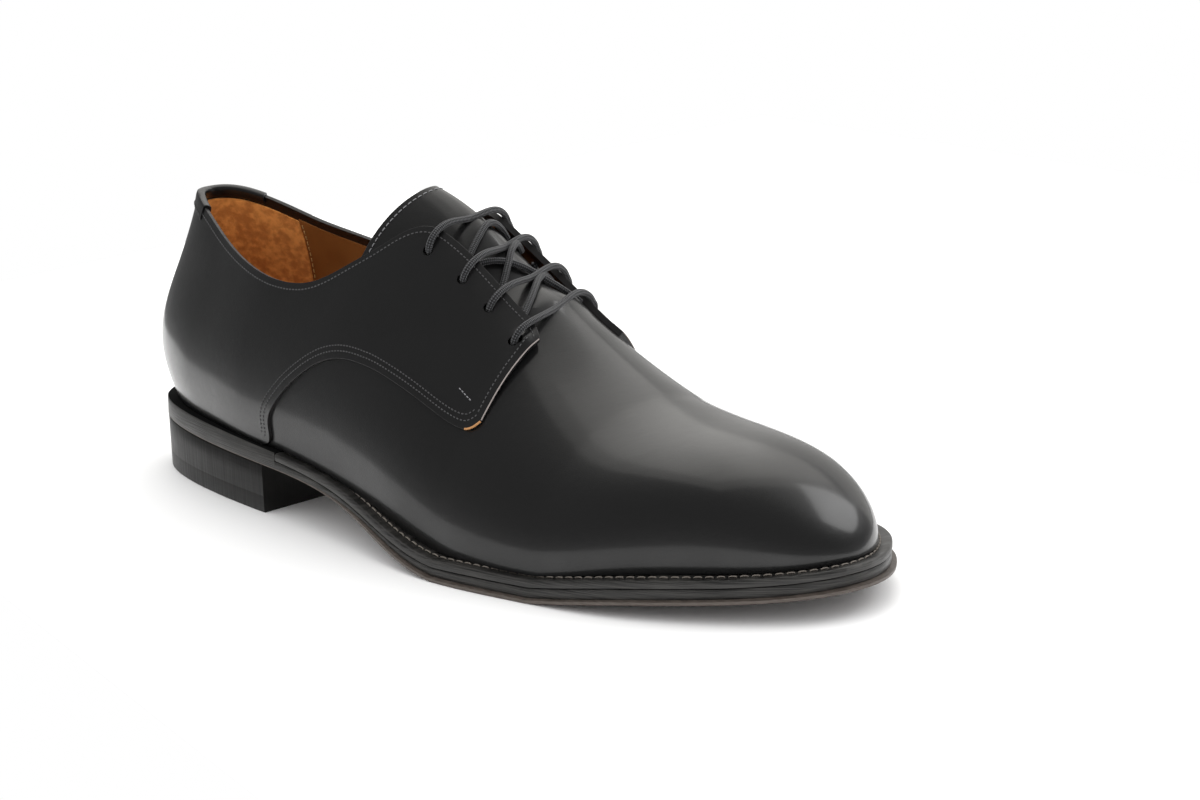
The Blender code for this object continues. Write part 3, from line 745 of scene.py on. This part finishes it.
def vamp_edge(count):
    """The vamp's rear edge from the feather line up to the ridge, as turn and section."""
    places = np.arange(len(VAMP_EDGE_TABLE))
    angle = spline(places, angle_of(column(VAMP_EDGE_TABLE, VAMP_EDGE_COLUMNS, "station")), "free", "free")
    section = spline(places, column(VAMP_EDGE_TABLE, VAMP_EDGE_COLUMNS, "section"), "free", "free")
    at = np.linspace(0, len(places) - 1, count)
    return angle(at), np.minimum(section(at), 1.0)


def vamp_grids(count, rows, toe_count):
    share = np.linspace(0, 1, rows)
    edge_angle, edge_section = vamp_edge(count)
    foot = np.linspace(edge_angle[0], edge_angle[-1], count)
    wing_turn = foot[:, None] + (edge_angle - foot)[:, None] * share
    wing_section = edge_section[:, None] * share
    toe_angle = edge_angle[-1] + (pi - edge_angle[-1]) * np.linspace(0, 1, toe_count)
    toe_turn = np.repeat(toe_angle[:, None], rows, axis=1)
    toe_section = np.repeat(share[None, :], toe_count, axis=0)
    half = [(wing_turn, wing_section), (toe_turn, toe_section)]
    return half + [(-turn[::-1], section[::-1]) for turn, section in half]


vamp = leather("vamp", vamp_grids(64, 56, 110), vamp_stand, VAMP_WALL, (CALF, EDGE), "calf", "upper")
round_edges(vamp, 0.3)


# %% [markdown]
# The two quarters meet at the back seam and carry the eyelets. Their lower edge sweeps up from
# the feather line and forward over the vamp; their facings stay open, which makes it a derby.

# %% Quarters
def quarter_boundary(per_side):
    """Angles along a quarter with the lower edge's height at each, close where it climbs."""
    angle = angle_of(column(QUARTER_TABLE, QUARTER_COLUMNS, "station"))
    lower = column(QUARTER_TABLE, QUARTER_COLUMNS, "lower")
    start = int(np.argmax(lower > 0)) - 1
    seam = along(np.stack([angle[start:], lower[start:]], -1), 400)
    rising = np.concatenate([[[a, 0.0]] for a in np.linspace(0, angle[start], 400)[:-1]])
    line = np.concatenate([rising, seam])
    step = np.hypot(np.diff(line[:, 0]), 0.8 * np.diff(line[:, 1]))
    run = np.concatenate([[0], np.cumsum(step)])
    at = np.linspace(0, run[-1], per_side)
    return np.interp(at, run, line[:, 0]), np.maximum(np.interp(at, run, line[:, 1]), 0)


def quarter_grid(per_side, rows):
    """Both quarters as one grid from facing to facing."""
    angle, lower = quarter_boundary(per_side)
    turn = np.concatenate([-angle[::-1], angle[1:]])
    low = np.concatenate([lower[::-1], lower[1:]])
    share = np.linspace(0, 1, rows)
    section = low[:, None] + (quarter_top(turn) - low)[:, None] * share
    return np.repeat(turn[:, None], rows, axis=1), section


quarters = leather("quarters", [quarter_grid(230, 52)], quarter_stand, quarter_wall, (CALF, EDGE), "calf")
round_edges(quarters, 0.3)


# %% [markdown]
# Each facing has four punched holes without metal rings. They are real holes here, cut by one
# Boolean with a set of short cylinders.

# %% Eyelets
EYELET_RADIUS = 1.75


def eyelet(row, side):
    """Turn and section of an eyelet's middle."""
    word = dict(SIDES)[side]
    station = column(EYELET_TABLE, EYELET_COLUMNS, word + "_station")[row]
    section = column(EYELET_TABLE, EYELET_COLUMNS, word + "_section")[row]
    return side * float(angle_of(station)), float(section)


def eyelet_cutter():
    made = bmesh.new()
    holes = [(side, *eyelet(row, side)) for row in range(len(EYELET_TABLE)) for side in (-1, 1)]
    pulled_turn, pulled_section = eyelet(len(EYELET_TABLE) - 1, -1)
    holes.append((-1, pulled_turn - 0.004, pulled_section + 0.014))
    for side, turn, section in holes:
        centre = on_last(turn, section, float(quarter_stand(turn, section)) - 0.7) + SHIFT
        out = Vector(last_normal(np.asarray(turn), np.asarray(section)))
        turned = Vector((0, 0, 1)).rotation_difference(out).to_matrix().to_4x4()
        place = Matrix.Translation(Vector(centre) * MM) @ turned
        bmesh.ops.create_cone(made, cap_ends=True, segments=20, radius1=EYELET_RADIUS * MM,
                              radius2=EYELET_RADIUS * MM, depth=9 * MM, matrix=place)
    mesh = bpy.data.meshes.new("eyelet_cutter")
    made.to_mesh(mesh)
    made.free()
    return put_in_scene("eyelet_cutter", mesh)


def settle(piece):
    """Apply the modifiers, so what is seen is the mesh itself."""
    bpy.context.view_layer.update()
    graph = bpy.context.evaluated_depsgraph_get()
    done = bpy.data.meshes.new_from_object(piece.evaluated_get(graph))
    piece.modifiers.clear()
    piece.data = done


cutter = eyelet_cutter()
punch = quarters.modifiers.new("punch", "BOOLEAN")
punch.object = cutter
punch.operation = "DIFFERENCE"
punch.solver = "EXACT"
punch.use_self = True
settle(quarters)
bpy.data.objects.remove(cutter)
print("quarters punched:", len(quarters.data.polygons), "faces")

# %% [markdown]
# Inside, soft tan calf lines the quarters, and a suede heel grip with the rough side out keeps
# the heel from slipping. Both stop a little below the collar, where the black leather folds in.


# %% Linings
GRIP_WALL = 0.5
LINING_WALL = 0.42


def lining_stand(turn, section):
    return quarter_stand(turn, section) - quarter_wall(turn, section) - 0.02


def grip_edge(share):
    """The heel grip's front edge leans forward as it goes down."""
    return angle_of(0.155 - 0.055 * share)


def lining_grid(start, end, count, rows, drop):
    """Rows from foot to just under the collar, between two edges given from foot to top."""
    share = np.linspace(0, 1, rows)
    low = start(share)
    high = end(share)
    turn = low[None, :] + (high - low)[None, :] * np.linspace(0, 1, count)[:, None]
    facing = ease(station_of(np.abs(turn)), 0.40, 0.46)
    top = quarter_top(turn) - drop - 0.03 * facing
    return turn, top * share[None, :]


def quarter_front(share):
    """The lining ends behind the facings, which are black on both sides."""
    return np.full(share.shape, float(angle_of(0.445)))


grip = leather(
    "heel_grip",
    [lining_grid(lambda s: -grip_edge(s), grip_edge, 90, 40, 0.034)],
    lining_stand, GRIP_WALL, (SUEDE, SUEDE), "board",
)
lining = leather(
    "quarter_lining",
    [
        lining_grid(grip_edge, quarter_front, 90, 40, 0.026),
        lining_grid(lambda s: -quarter_front(s), lambda s: -grip_edge(s), 90, 40, 0.026),
    ],
    lining_stand, LINING_WALL, (LINING, LINING), "board",
)

# %% [markdown]
# The tongue is a tall, softly crowned tab of the same calf with a tan back. It starts at the
# vamp's throat and rises above the facings.


# %% Tongue
TONGUE_WALL = 1.5
TONGUE_DEPTH_AT_SIDE = 3.5
TONGUE_DEPTH_AT_RIDGE = 4.0
TONGUE_TOP_AT_SIDE = 0.366
TONGUE_TOP_AT_RIDGE = 0.406


def tongue_stand(turn, section):
    """The tongue lies this far under the last's surface, and meets the vamp's top in front."""
    ridge = ease(section, 0.62, 0.9)
    depth = TONGUE_DEPTH_AT_SIDE + (TONGUE_DEPTH_AT_RIDGE - TONGUE_DEPTH_AT_SIDE) * ridge
    return -depth * (1 - ease(station_of(np.abs(turn)), 0.545, 0.583))


def tongue_top(section):
    """Turn of the tongue's top edge, a round tab that dips to its sides."""
    side = angle_of(TONGUE_TOP_AT_SIDE)
    return side + (angle_of(TONGUE_TOP_AT_RIDGE) - side) * ease(section, 0.52, 1.0)


def tongue_grids(count, rows):
    edge_angle, edge_section = vamp_edge(400)
    half = np.linspace(0.52, 1.0, count)
    front = np.interp(half, edge_section, edge_angle) + 0.004
    top = tongue_top(half)
    share = np.linspace(0, 1, rows)
    turn = top[:, None] + (front - top)[:, None] * share
    section = np.repeat(half[:, None], rows, axis=1)
    return [(turn, section), (-turn[::-1], section[::-1])]


tongue = leather(
    "tongue", tongue_grids(50, 90), tongue_stand, TONGUE_WALL, (CALF, LINING, EDGE), "calf", "tongue"
)
round_edges(tongue, 0.35)


# %% [markdown]
# The sole is leather: a welt sewn round the forepart, the outsole under it and a stacked heel.
# Its side is one ring of points at each angle, joined ring to ring.

# %% Rings
def tube_faces(rings, sides, first=0, capped=True):
    """Faces between rings of points that follow one another, and the two end caps."""
    last = first + (rings - 1) * sides
    faces = []
    for k in range(first, last, sides):
        for i in range(sides):
            j = (i + 1) % sides
            faces.append((k + i, k + j, k + sides + j, k + sides + i))
    if capped:
        faces.append(tuple(reversed(range(first, first + sides))))
        faces.append(tuple(range(last, last + sides)))
    return faces


def ring_piece(name, rings, materials, slot, node, ring_slots=None, capped=True):
    """Rings of equal count joined one after another; ring_slots gives each side's material."""
    ring_slots = ring_slots or [0] * len(rings[0])
    faces = tube_faces(len(rings), len(rings[0]), 0, capped)
    slots = ring_slots * (len(rings) - 1) + ring_slots[:1] * 2
    points = np.concatenate(rings)
    chosen, welded, kept = weld(points, faces)
    slots = [slots[k] for k in kept]
    piece = new_piece(name, points[chosen], welded, materials, slot, node, slots)
    made = bmesh.new()
    made.from_mesh(piece.data)
    bmesh.ops.recalc_face_normals(made, faces=made.faces)
    made.to_mesh(piece.data)
    made.free()
    print(name, len(piece.data.vertices), "points")
    return piece


def lifted(plan, height):
    return np.concatenate([plan, np.asarray(height, float)[..., None]], -1)


def across(rows):
    """Rings over the outer side's rows of points and back over the inner side's."""
    return [np.array(outer + inner[::-1]) for outer, inner in zip(zip(*rows[-1]), zip(*rows[1]))]


# %% [markdown]
# The outsole is one board from heel to toe. At the forepart a thin lip of lighter leather stands
# out under its waxed side, and its top is cut away where the welt lies on it.

# %% Outsole
WELT_SEAT = 2.8
LIP_HEIGHT = 1.15


def make_outsole():
    """Across each ring: tread, lip, side and ledge of one side, then of the other."""
    welt_angle = float(sole_angle(WELT_BACK))
    angles = np.sort(np.append(np.linspace(0, pi, 260), [welt_angle, welt_angle]))
    stepped = angles > welt_angle
    stepped[int(np.argmax(stepped)) - 1] = True
    step = np.where(stepped, WELT_SEAT, 0.0)
    lip = SOLE["lip"](angles)
    lipped = ease(lip, 0, 0.8)
    rows = {}
    for side in (-1, 1):
        outline = partial(sole_outline, angles, side)
        edge = outline(0.0)
        under = underside(edge[:, 0])
        lip_top = under + LIP_HEIGHT * lipped
        inner = outline(WELT_WIDTH + GAP)
        high_inner = outline(WELT_WIDTH + 1.0)
        rows[side] = [
            lifted(outline(14.0 * np.sin(angles) ** 0.5), under),
            lifted(outline(0.35 * lipped - lip), under),
            lifted(outline(-lip), under + 0.25 * lipped + 0.01),
            lifted(outline(-lip), lip_top + 0.02),
            lifted(outline(0.35 * lipped), lip_top + 0.3),
            lifted(edge, lip_top + 0.75),
            lifted(edge, sole_top(edge[:, 0]) - step - 0.25),
            lifted(outline(0.25), sole_top(edge[:, 0]) - step),
            lifted(inner, sole_top(inner[:, 0]) - step),
            lifted(high_inner, sole_top(high_inner[:, 0])),
        ]
    half = [1, 1, 2, 2, 0, 0, 0, 3, 3]
    slots = half + [3] + half[::-1] + [1]
    # The last finish, on the sole's top, is painted shade: near black where the upper shades it.
    materials = (WAXED, UNDER, LIP, SHADE_PAINTED_LEDGE)
    return ring_piece("outsole", across(rows), materials, "sole_leather", "outsole", slots, False)


outsole = make_outsole()

# %% [markdown]
# The welt is a strip sewn to the upper's foot and to the sole. Its profile is a few pairs of
# distance in from the sole's edge and depth under its top, with a groove for the stitches.

# %% Welt
WELT_PROFILE = (
    (0.0, 2.5), (-0.15, 1.9), (-0.15, 0.5), (0.25, 0.08), (0.9, 0.0),
    (3.2, 0.0), (3.6, 0.12), (4.0, 0.0), (8.0, 0.0), (8.0, 2.5),
)


def make_welt():
    """The welt's strip with rounded edges, proud of the sole's side by a hair."""
    angles = np.linspace(float(sole_angle(WELT_BACK)) + 0.004, pi, 240)
    rings = []
    for side, run in ((-1, angles), (1, angles[::-1][1:])):
        rows = []
        for inset, drop in WELT_PROFILE:
            plan = sole_outline(run, side, inset)
            rows.append(lifted(plan, sole_top(plan[:, 0]) - drop))
        rings += [np.array(ring) for ring in zip(*rows)]
    return ring_piece("welt", rings, (WAXED,), "sole_leather", "welt")


welt = make_welt()

# %% [markdown]
# The heel is a stack of leather lifts. Each row of its profile gives the distance in from the
# sole's edge and a height over the floor, or a depth under the sole for the rows that hang there.

# %% Heel
HEEL_PROFILE = (
    (1.1, 0.0, False), (0.8, 0.35, False), (0.6, 5.4, False), (0.68, 5.6, False),
    (0.68, 5.75, False), (0.58, 5.95, False), (0.15, 0.35, True), (0.5, 0.0, True),
)


def make_heel():
    """Stacked leather lifts, a little smaller at the floor, with a flat breast."""
    angles = np.linspace(0, float(sole_angle(HEEL_BREAST)), 120)
    rows = {-1: [], 1: []}
    for side in rows:
        for inset, level, hangs in HEEL_PROFILE:
            plan = sole_outline(angles, side, inset)
            seat = underside(plan[:, 0]) - GAP
            rows[side].append(lifted(plan, seat - level if hangs else np.minimum(level, seat)))
    return ring_piece("heel", across(rows), (HEEL_WAX,), "sole_leather", "heel")


heel = make_heel()

# %% [markdown]
# The insole is seen only from above, down through the collar: a smooth tan sock on a board.


# %% Insole
def make_insole():
    """The sock of smooth tan leather that the foot stands on."""
    angles = np.linspace(0.001, pi - 0.001, 160)
    rows = {}
    for side in (-1, 1):
        inward = unit(last_normal(side * angles, np.zeros(angles.shape))[:, :2])
        edge = last_point(side * angles, 0.0)[:, :2] - inward * 2.5
        low = sole_top(edge[:, 0]) + GAP
        rows[side] = [lifted(edge, low), lifted(edge, low + 2.6), lifted(edge - inward * 0.5, low + 3.0)]
    return ring_piece("insole", across(rows), (LINING,), "board", "insole")


insole = make_insole()

# %% [markdown]
# A folded strip of calf covers the top of the back seam, where a shoe horn would wear it.


# %% Back tab
def make_back_tab():
    rings = []
    reach = float(angle_of(0.056))
    for turn in np.linspace(-reach, reach, 61):
        edge = float(quarter_top(np.asarray(turn)))
        foot = edge - 0.040
        profile = [(foot, 0.06), (foot + 0.001, 0.32), (foot + 0.01, 0.45), (edge - 0.004, 0.55)]
        for step in range(1, 8):
            bend = pi * step / 8
            profile.append((edge + 0.002 + 0.008 * sin(bend), -1.02 + 1.57 * cos(bend)))
        profile += [(edge - 0.004, -2.6), (foot + 0.018, -2.45), (foot + 0.014, -2.1)]
        profile += [(edge + 0.0005, -1.9), (edge + 0.0015, -0.9), (edge + 0.0005, 0.06)]
        rings.append(np.array([on_last(turn, section, stand) for section, stand in profile]))
    return ring_piece("back_tab", rings, (CALF,), "calf", "back_tab")


back_tab = make_back_tab()
round_edges(back_tab, 0.2)

# %% [markdown]
# The lace is a round, waxed cotton braid. It comes up through a hole, crosses the gap as a
# straight bar, goes down through the hole opposite, and runs on under the facings to the next
# row. Its path is a few points on the shoe, and a smooth curve through them.


# %% Lace
BRAID_LAY = 0.42
BAR_LIFTS = (1.4, 1.2, 1.1, 1.1)


def tube(name, path, node, sides=20):
    """A round lace along a path; its UV is the share round it and turns of the braid along it."""
    tangents = unit(np.gradient(path, axis=0))
    run = lengths_along(path)
    normal = np.cross(tangents[0], (0.3, 0.2, 1))
    points = []
    for point, tangent in zip(path, tangents):
        normal = unit(normal - tangent * np.dot(normal, tangent))
        second = np.cross(tangent, normal)
        for k in range(sides):
            turn = 2 * pi * k / sides
            points.append(point + LACE_DIAMETER / 2 * (cos(turn) * normal + sin(turn) * second))
    spread = []
    for a, b in zip(run[:-1] * BRAID_LAY, run[1:] * BRAID_LAY):
        for i in range(sides):
            spread += [(i / sides, a), ((i + 1) / sides, a), ((i + 1) / sides, b), (i / sides, b)]
    spread += [(0.0, 0.0)] * (2 * sides)
    piece = new_piece(name, points, tube_faces(len(path), sides), (LACE,), "lace", node)
    layer = piece.data.uv_layers.new(name="UVMap")
    layer.data.foreach_set("uv", np.array(spread).ravel())
    print(name, round(run[-1], 1), "mm of lace")
    return piece


def facing_point(turn, section, over):
    return on_last(turn, section, float(quarter_stand(turn, section)) + over)


def bar_path(row, lift):
    """Up through the outer hole, over the gap and round the inner facing's edge."""
    half = LACE_DIAMETER / 2
    outer, hole = eyelet(row, -1)
    edge = float(quarter_top(outer))
    start = [
        facing_point(outer, hole + 0.004, -3.2),
        facing_point(outer, hole + 0.003, -0.6),
        facing_point(outer, hole + 0.022, half + 0.25),
        facing_point(outer, edge - 0.012, half + 0.35),
    ]
    inner, hole = eyelet(row, 1)
    edge = float(quarter_top(inner))
    end = [
        facing_point(inner, edge + 0.006, half - 0.1),
        facing_point(inner, edge - 0.008, half + 0.05),
        facing_point(inner, edge - 0.030, half),
        facing_point(inner, hole + 0.020, half - 0.1),
        facing_point(inner, hole + 0.002, -0.8),
        facing_point(inner, hole + 0.004, -3.2),
    ]
    middle = (start[-1] + end[0]) / 2
    middle[2] += lift
    return along(start + [middle] + end, 90)


for row, lift in enumerate(BAR_LIFTS):
    name = f"lace_bar_{row + 1}"
    tube(name, bar_path(row, lift), name)

# %% [markdown]
# Between the bars the lace crosses over the tongue, from under one facing to under the other.
# Each row gives a run's name, its node, the stations where it dives under the outer and the
# inner facing, and how far it lies over another run.

# %% Lace crossings
LACE_RUN_TABLE = (
    ("lace_run_top", "lace_run_top", 0.498, 0.478, 0.0),
    ("lace_run_2", "lace_crossings", 0.545, 0.500, 0.9),
    ("lace_run_3", "lace_crossings", 0.578, 0.538, 0.9),
    ("lace_run_4", "lace_crossings", 0.515, 0.560, 0.0),
)
LACE_RUN_END = {-1: 0.83, 1: 0.78}


def run_path(outer, inner, lift):
    """Between the facings, from under one side to under the other, over the tongue."""
    points = []
    for share in (-0.12, 0.0, 0.25, 0.5, 0.75, 1.0, 1.12):
        side = -1 if share <= 0.5 else 1
        ridge = 1 - abs(2 * share - 1)
        section = LACE_RUN_END[side] + (1 - LACE_RUN_END[side]) * ridge
        turn = side * float(angle_of(outer + (inner - outer) * share))
        rest = GAP + LACE_DIAMETER / 2 + lift * sin(pi * np.clip(share, 0, 1))
        points.append(on_last(turn, section, float(tongue_stand(turn, section)) + rest))
    return along(points, 70)


for name, node, outer, inner, lift in LACE_RUN_TABLE:
    tube(name, run_path(outer, inner, lift), node)

# %% [markdown]
# Stitches are what a close look finds first. Each one is a short thread laid between two needle
# holes, with its ends turned down, and a whole row is one joined mesh. A kind of stitch is three
# sizes: its length, the gap to the next and the thread's width.

# %% Stitches
COLLAR_STITCH = (0.85, 0.65, 0.42)
SEAM_STITCH = (0.75, 0.6, 0.4)
TONGUE_STITCH = (1.35, 0.6, 0.4)
TACK_STITCH = (0.8, 0.3, 0.36)
TAB_STITCH = (1.1, 0.5, 0.32)
GRIP_STITCH = (1.3, 0.8, 0.4)
WELT_STITCH = (2.5, 1.0, 0.6)


def stitch_row(name, path, normals, kind, material, slot, rise=0.12):
    """A row of stitches along points with the leather's normal at each."""
    length, gap, width = kind
    run = lengths_along(path)
    count = max(int(run[-1] / (length + gap)), 1)
    sides = 6
    profile = ((-0.5, -0.25), (-0.4, 0.55), (-0.2, 0.9), (0.0, 1.0), (0.2, 0.9), (0.4, 0.55), (0.5, -0.25))

    def at_run(values, at):
        return np.array([np.interp(at, run, values[:, i]) for i in range(3)])

    points = []
    faces = []
    for k in range(count):
        middle = (k + 0.5) * run[-1] / count
        for share, lift in profile:
            at = middle + share * length
            out = unit(at_run(normals, at))
            forward = unit(at_run(path, at + 0.2) - at_run(path, at - 0.2))
            sideways = np.cross(out, forward)
            centre = at_run(path, at) + out * (lift * rise)
            for i in range(sides):
                turn = 2 * pi * i / sides
                points.append(centre + width / 2 * (cos(turn) * sideways + 0.8 * sin(turn) * out))
        faces += tube_faces(len(profile), sides, k * len(profile) * sides)
    print(name, count, "stitches")
    return new_piece(name, points, faces, (material,), slot, None)


def sew(name, turns, sections, stand, kind, material, slot="calf", facing=1):
    """A row on the leather's outside, or on its inside with facing -1."""
    path = on_last(turns, sections, stand(turns, sections))
    return stitch_row(name, path, facing * last_normal(turns, sections), kind, material, slot)


# %% [markdown]
# A row of black stitches runs under the collar's edge, and two along each side seam. Each row
# keeps its distance from the edge on the leather itself, so it bends as the edge does.


# %% Collar and side seams
def inset_from_top(turn, inset):
    """The section this many millimetres below a quarter's top edge."""
    top = quarter_top(turn)
    reach = np.linalg.norm(last_point(turn, top) - last_point(turn, top - 0.02), axis=-1) / 0.02
    return top - inset / reach


def inset_from_seam(turn, section, inset, side):
    """A line of turns and sections moved up this far from a quarter's lower edge."""
    line = on_last(turn, section, 0 * section)
    direction = unit(np.gradient(line, axis=0))
    inward = np.cross(direction, last_normal(turn, section)) * side
    here = last_point(turn, section)
    small = 1e-3
    by_turn = (last_point(turn + small, section) - here) / small
    by_section = (last_point(turn, section + small) - here) / small
    turn_step = (inward * by_turn).sum(1) / (by_turn * by_turn).sum(1)
    section_step = (inward * by_section).sum(1) / (by_section * by_section).sum(1)
    return turn + inset * turn_step, section + inset * section_step


for side, word in SIDES:
    turns = side * np.linspace(0.0, float(angle_of(0.606)), 400)
    sections = inset_from_top(turns, 2.3)
    sew(f"collar_stitch_{word}", turns, sections, quarter_stand, COLLAR_STITCH, BLACK_THREAD)
    angle, lower = quarter_boundary(500)
    rise = lower > 0.012
    for number, inset in enumerate((2.2, 3.9), start=1):
        row = inset_from_seam(side * angle[rise], lower[rise], inset, side)
        sew(f"side_seam_{number}_{word}", *row, quarter_stand, SEAM_STITCH, BLACK_THREAD)


# %% [markdown]
# The facings' fronts, the tongue's top, the back tab and the heel grip have rows of their own,
# and a short bar tack holds the outer facing's corner.

# %% Facing, tongue and tab stitches
FRONT_ANGLE = float(angle_of(QUARTER_TABLE[-1][0]))
for side, word in SIDES:
    sections = np.linspace(0.475, float(quarter_top(side * FRONT_ANGLE)) - 0.035, 200)
    turns = np.full(sections.shape, side * (FRONT_ANGLE - 0.0155))
    sew(f"front_stitch_{word}", turns, sections, quarter_stand, COLLAR_STITCH, BLACK_THREAD)

share = np.concatenate([np.linspace(0.53, 1.0, 150), np.linspace(1.0, 0.53, 150)[1:]])
sign = np.where(np.arange(len(share)) < 150, -1.0, 1.0)
turns = sign * (tongue_top(share) + 0.0175)
sew("tongue_stitch", turns, share, tongue_stand, TONGUE_STITCH, PALE_THREAD)

turns = -angle_of(np.linspace(0.568, 0.588, 20))
sections = np.linspace(0.487, 0.488, 20)
sew("bar_tack", turns, sections, quarter_stand, TACK_STITCH, PALE_THREAD)

reach = float(angle_of(0.050))
turns = np.linspace(-reach, reach, 80)
sections = quarter_top(turns) - 0.030
sew("tab_stitch", turns, sections, lambda t, s: np.full(t.shape, 0.48), TAB_STITCH, BLACK_THREAD)

share = np.linspace(0.35, 0.985, 120)
turns = grip_edge(share) + 0.012
sections = (quarter_top(turns) - 0.03) * share
sew("lining_stitch", turns, sections, lambda t, s: lining_stand(t, s) - GRIP_WALL,
    GRIP_STITCH, TAN_THREAD, "board", -1)

# %% [markdown]
# The welt's stitches are the longest and of the thickest thread, pale against the black leather.

# %% Welt stitches
angles = np.linspace(float(sole_angle(WELT_BACK)) + 0.02, pi, 900)
for side, word in SIDES:
    plan = sole_outline(angles, side, 3.7)
    path = lifted(plan, sole_top(plan[:, 0]) + 0.02)
    normals = np.tile((0.0, 0.0, 1.0), (len(path), 1))
    stitch_row(f"welt_stitch_{word}", path, normals, WELT_STITCH, WELT_THREAD, "sole_leather", 0.25)


# %% [markdown]
# Where the black leather is cut, its edge shows: pale along the flaps' fronts, and tan at the
# lower corners, where the dye didn't reach.

# %% Cut edges
def edge_line(name, turns, sections, width, material):
    """A thin rounded strip along a cut edge."""
    path = on_last(turns, sections, quarter_stand(turns, sections) - 0.22)
    tangents = unit(np.gradient(path, axis=0))
    out = last_normal(turns, sections)
    rings = []
    for point, tangent, normal in zip(path, tangents, out):
        sideways = np.cross(tangent, normal)
        turns_round = np.linspace(0, 2 * pi, 9)[:-1]
        rings.append(np.array([
            point + width / 2 * (cos(a) * normal + sin(a) * sideways) for a in turns_round
        ]))
    return ring_piece(name, rings, (material,), "calf", None)


for side, word in SIDES:
    top = float(quarter_top(side * FRONT_ANGLE))
    sections = np.linspace(top - 0.004, QUARTER_TABLE[-1][1] + 0.004, 60)
    edge_line(f"front_edge_{word}", np.full(60, side * FRONT_ANGLE), sections, 0.5, CUT_EDGE)
    angle, lower = quarter_boundary(500)
    corner = angle > FRONT_ANGLE - 0.03
    edge_line(f"corner_edge_{word}", side * angle[corner], lower[corner], 0.75, RAW_EDGE)

# %% [markdown]
# The floor and the lights. The table is white and larger than the picture.


# %% Studio
def soft_box(name, place, target, size, power, colour=(1, 1, 1)):
    light = bpy.data.lights.new(name, "AREA")
    light.shape = "RECTANGLE"
    light.size = size[0]
    light.size_y = size[1]
    light.energy = power
    light.color = colour
    stand = put_in_scene(name, light)
    stand.location = place
    direction = Vector(target) - Vector(place)
    stand.rotation_euler = direction.to_track_quat("-Z", "Y").to_euler()
    return stand


def make_table():
    mesh = bpy.data.meshes.new("table")
    corners = ((-0.40, -0.03, 0), (0.62, -0.40, 0), (0.62, 0.60, 0), (-0.40, 0.60, 0))
    mesh.from_pydata(corners, [], [(0, 1, 2, 3)])
    table = put_in_scene("table", mesh)
    finish = Finish("white_table", (0.93, 0.93, 0.93), 0.7)
    mesh.materials.append(finish.material)
    table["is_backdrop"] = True
    return table


def make_world(seen, lit, mirrored):
    """White behind the shoe, soft light all round, and a dim room in the leather's gloss."""
    world = bpy.data.worlds.new("studio")
    bpy.context.scene.world = world
    world.use_nodes = True
    tree = world.node_tree
    back = tree.nodes["Background"]
    back.inputs["Color"].default_value = (1, 1, 1, 1)
    ray = tree.nodes.new("ShaderNodeLightPath")
    glossy = tree.nodes.new("ShaderNodeMix")
    glossy.inputs[2].default_value = lit
    glossy.inputs[3].default_value = mirrored
    tree.links.new(ray.outputs["Is Glossy Ray"], glossy.inputs[0])
    camera_ray = tree.nodes.new("ShaderNodeMix")
    camera_ray.inputs[3].default_value = seen
    tree.links.new(ray.outputs["Is Camera Ray"], camera_ray.inputs[0])
    tree.links.new(glossy.outputs[0], camera_ray.inputs[2])
    tree.links.new(camera_ray.outputs[0], back.inputs["Strength"])


WARM = (1.0, 0.98, 0.94)
table = make_table()
make_world(seen=1.0, lit=1.3, mirrored=0.22)
soft_box("overhead", (-0.70, 0.99, 1.30), (-0.70, 0.99, 0.0), (1.80, 2.22), 9.0, WARM)
soft_box("overhead_middle", (-0.72, 1.04, 1.29), (-0.72, 1.04, 0.0), (1.45, 1.80), 5.0, WARM)
soft_box("back_wall", (-1.25, 2.35, 0.75), (0.0, 0.0, 0.1), (3.2, 1.4), 8.0, WARM)
soft_box("toe_window", (0.66, 1.55, 1.3), (0.12, 0.0, 0.03), (1.0, 0.85), 9.0)
bpy.context.scene.view_settings.view_transform = "Standard"
bpy.context.scene.view_settings.exposure = 0.0

# %% Finish
boxes = [[list(map(float, corner)) for corner in box] for box in (CAD_BOX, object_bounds())]
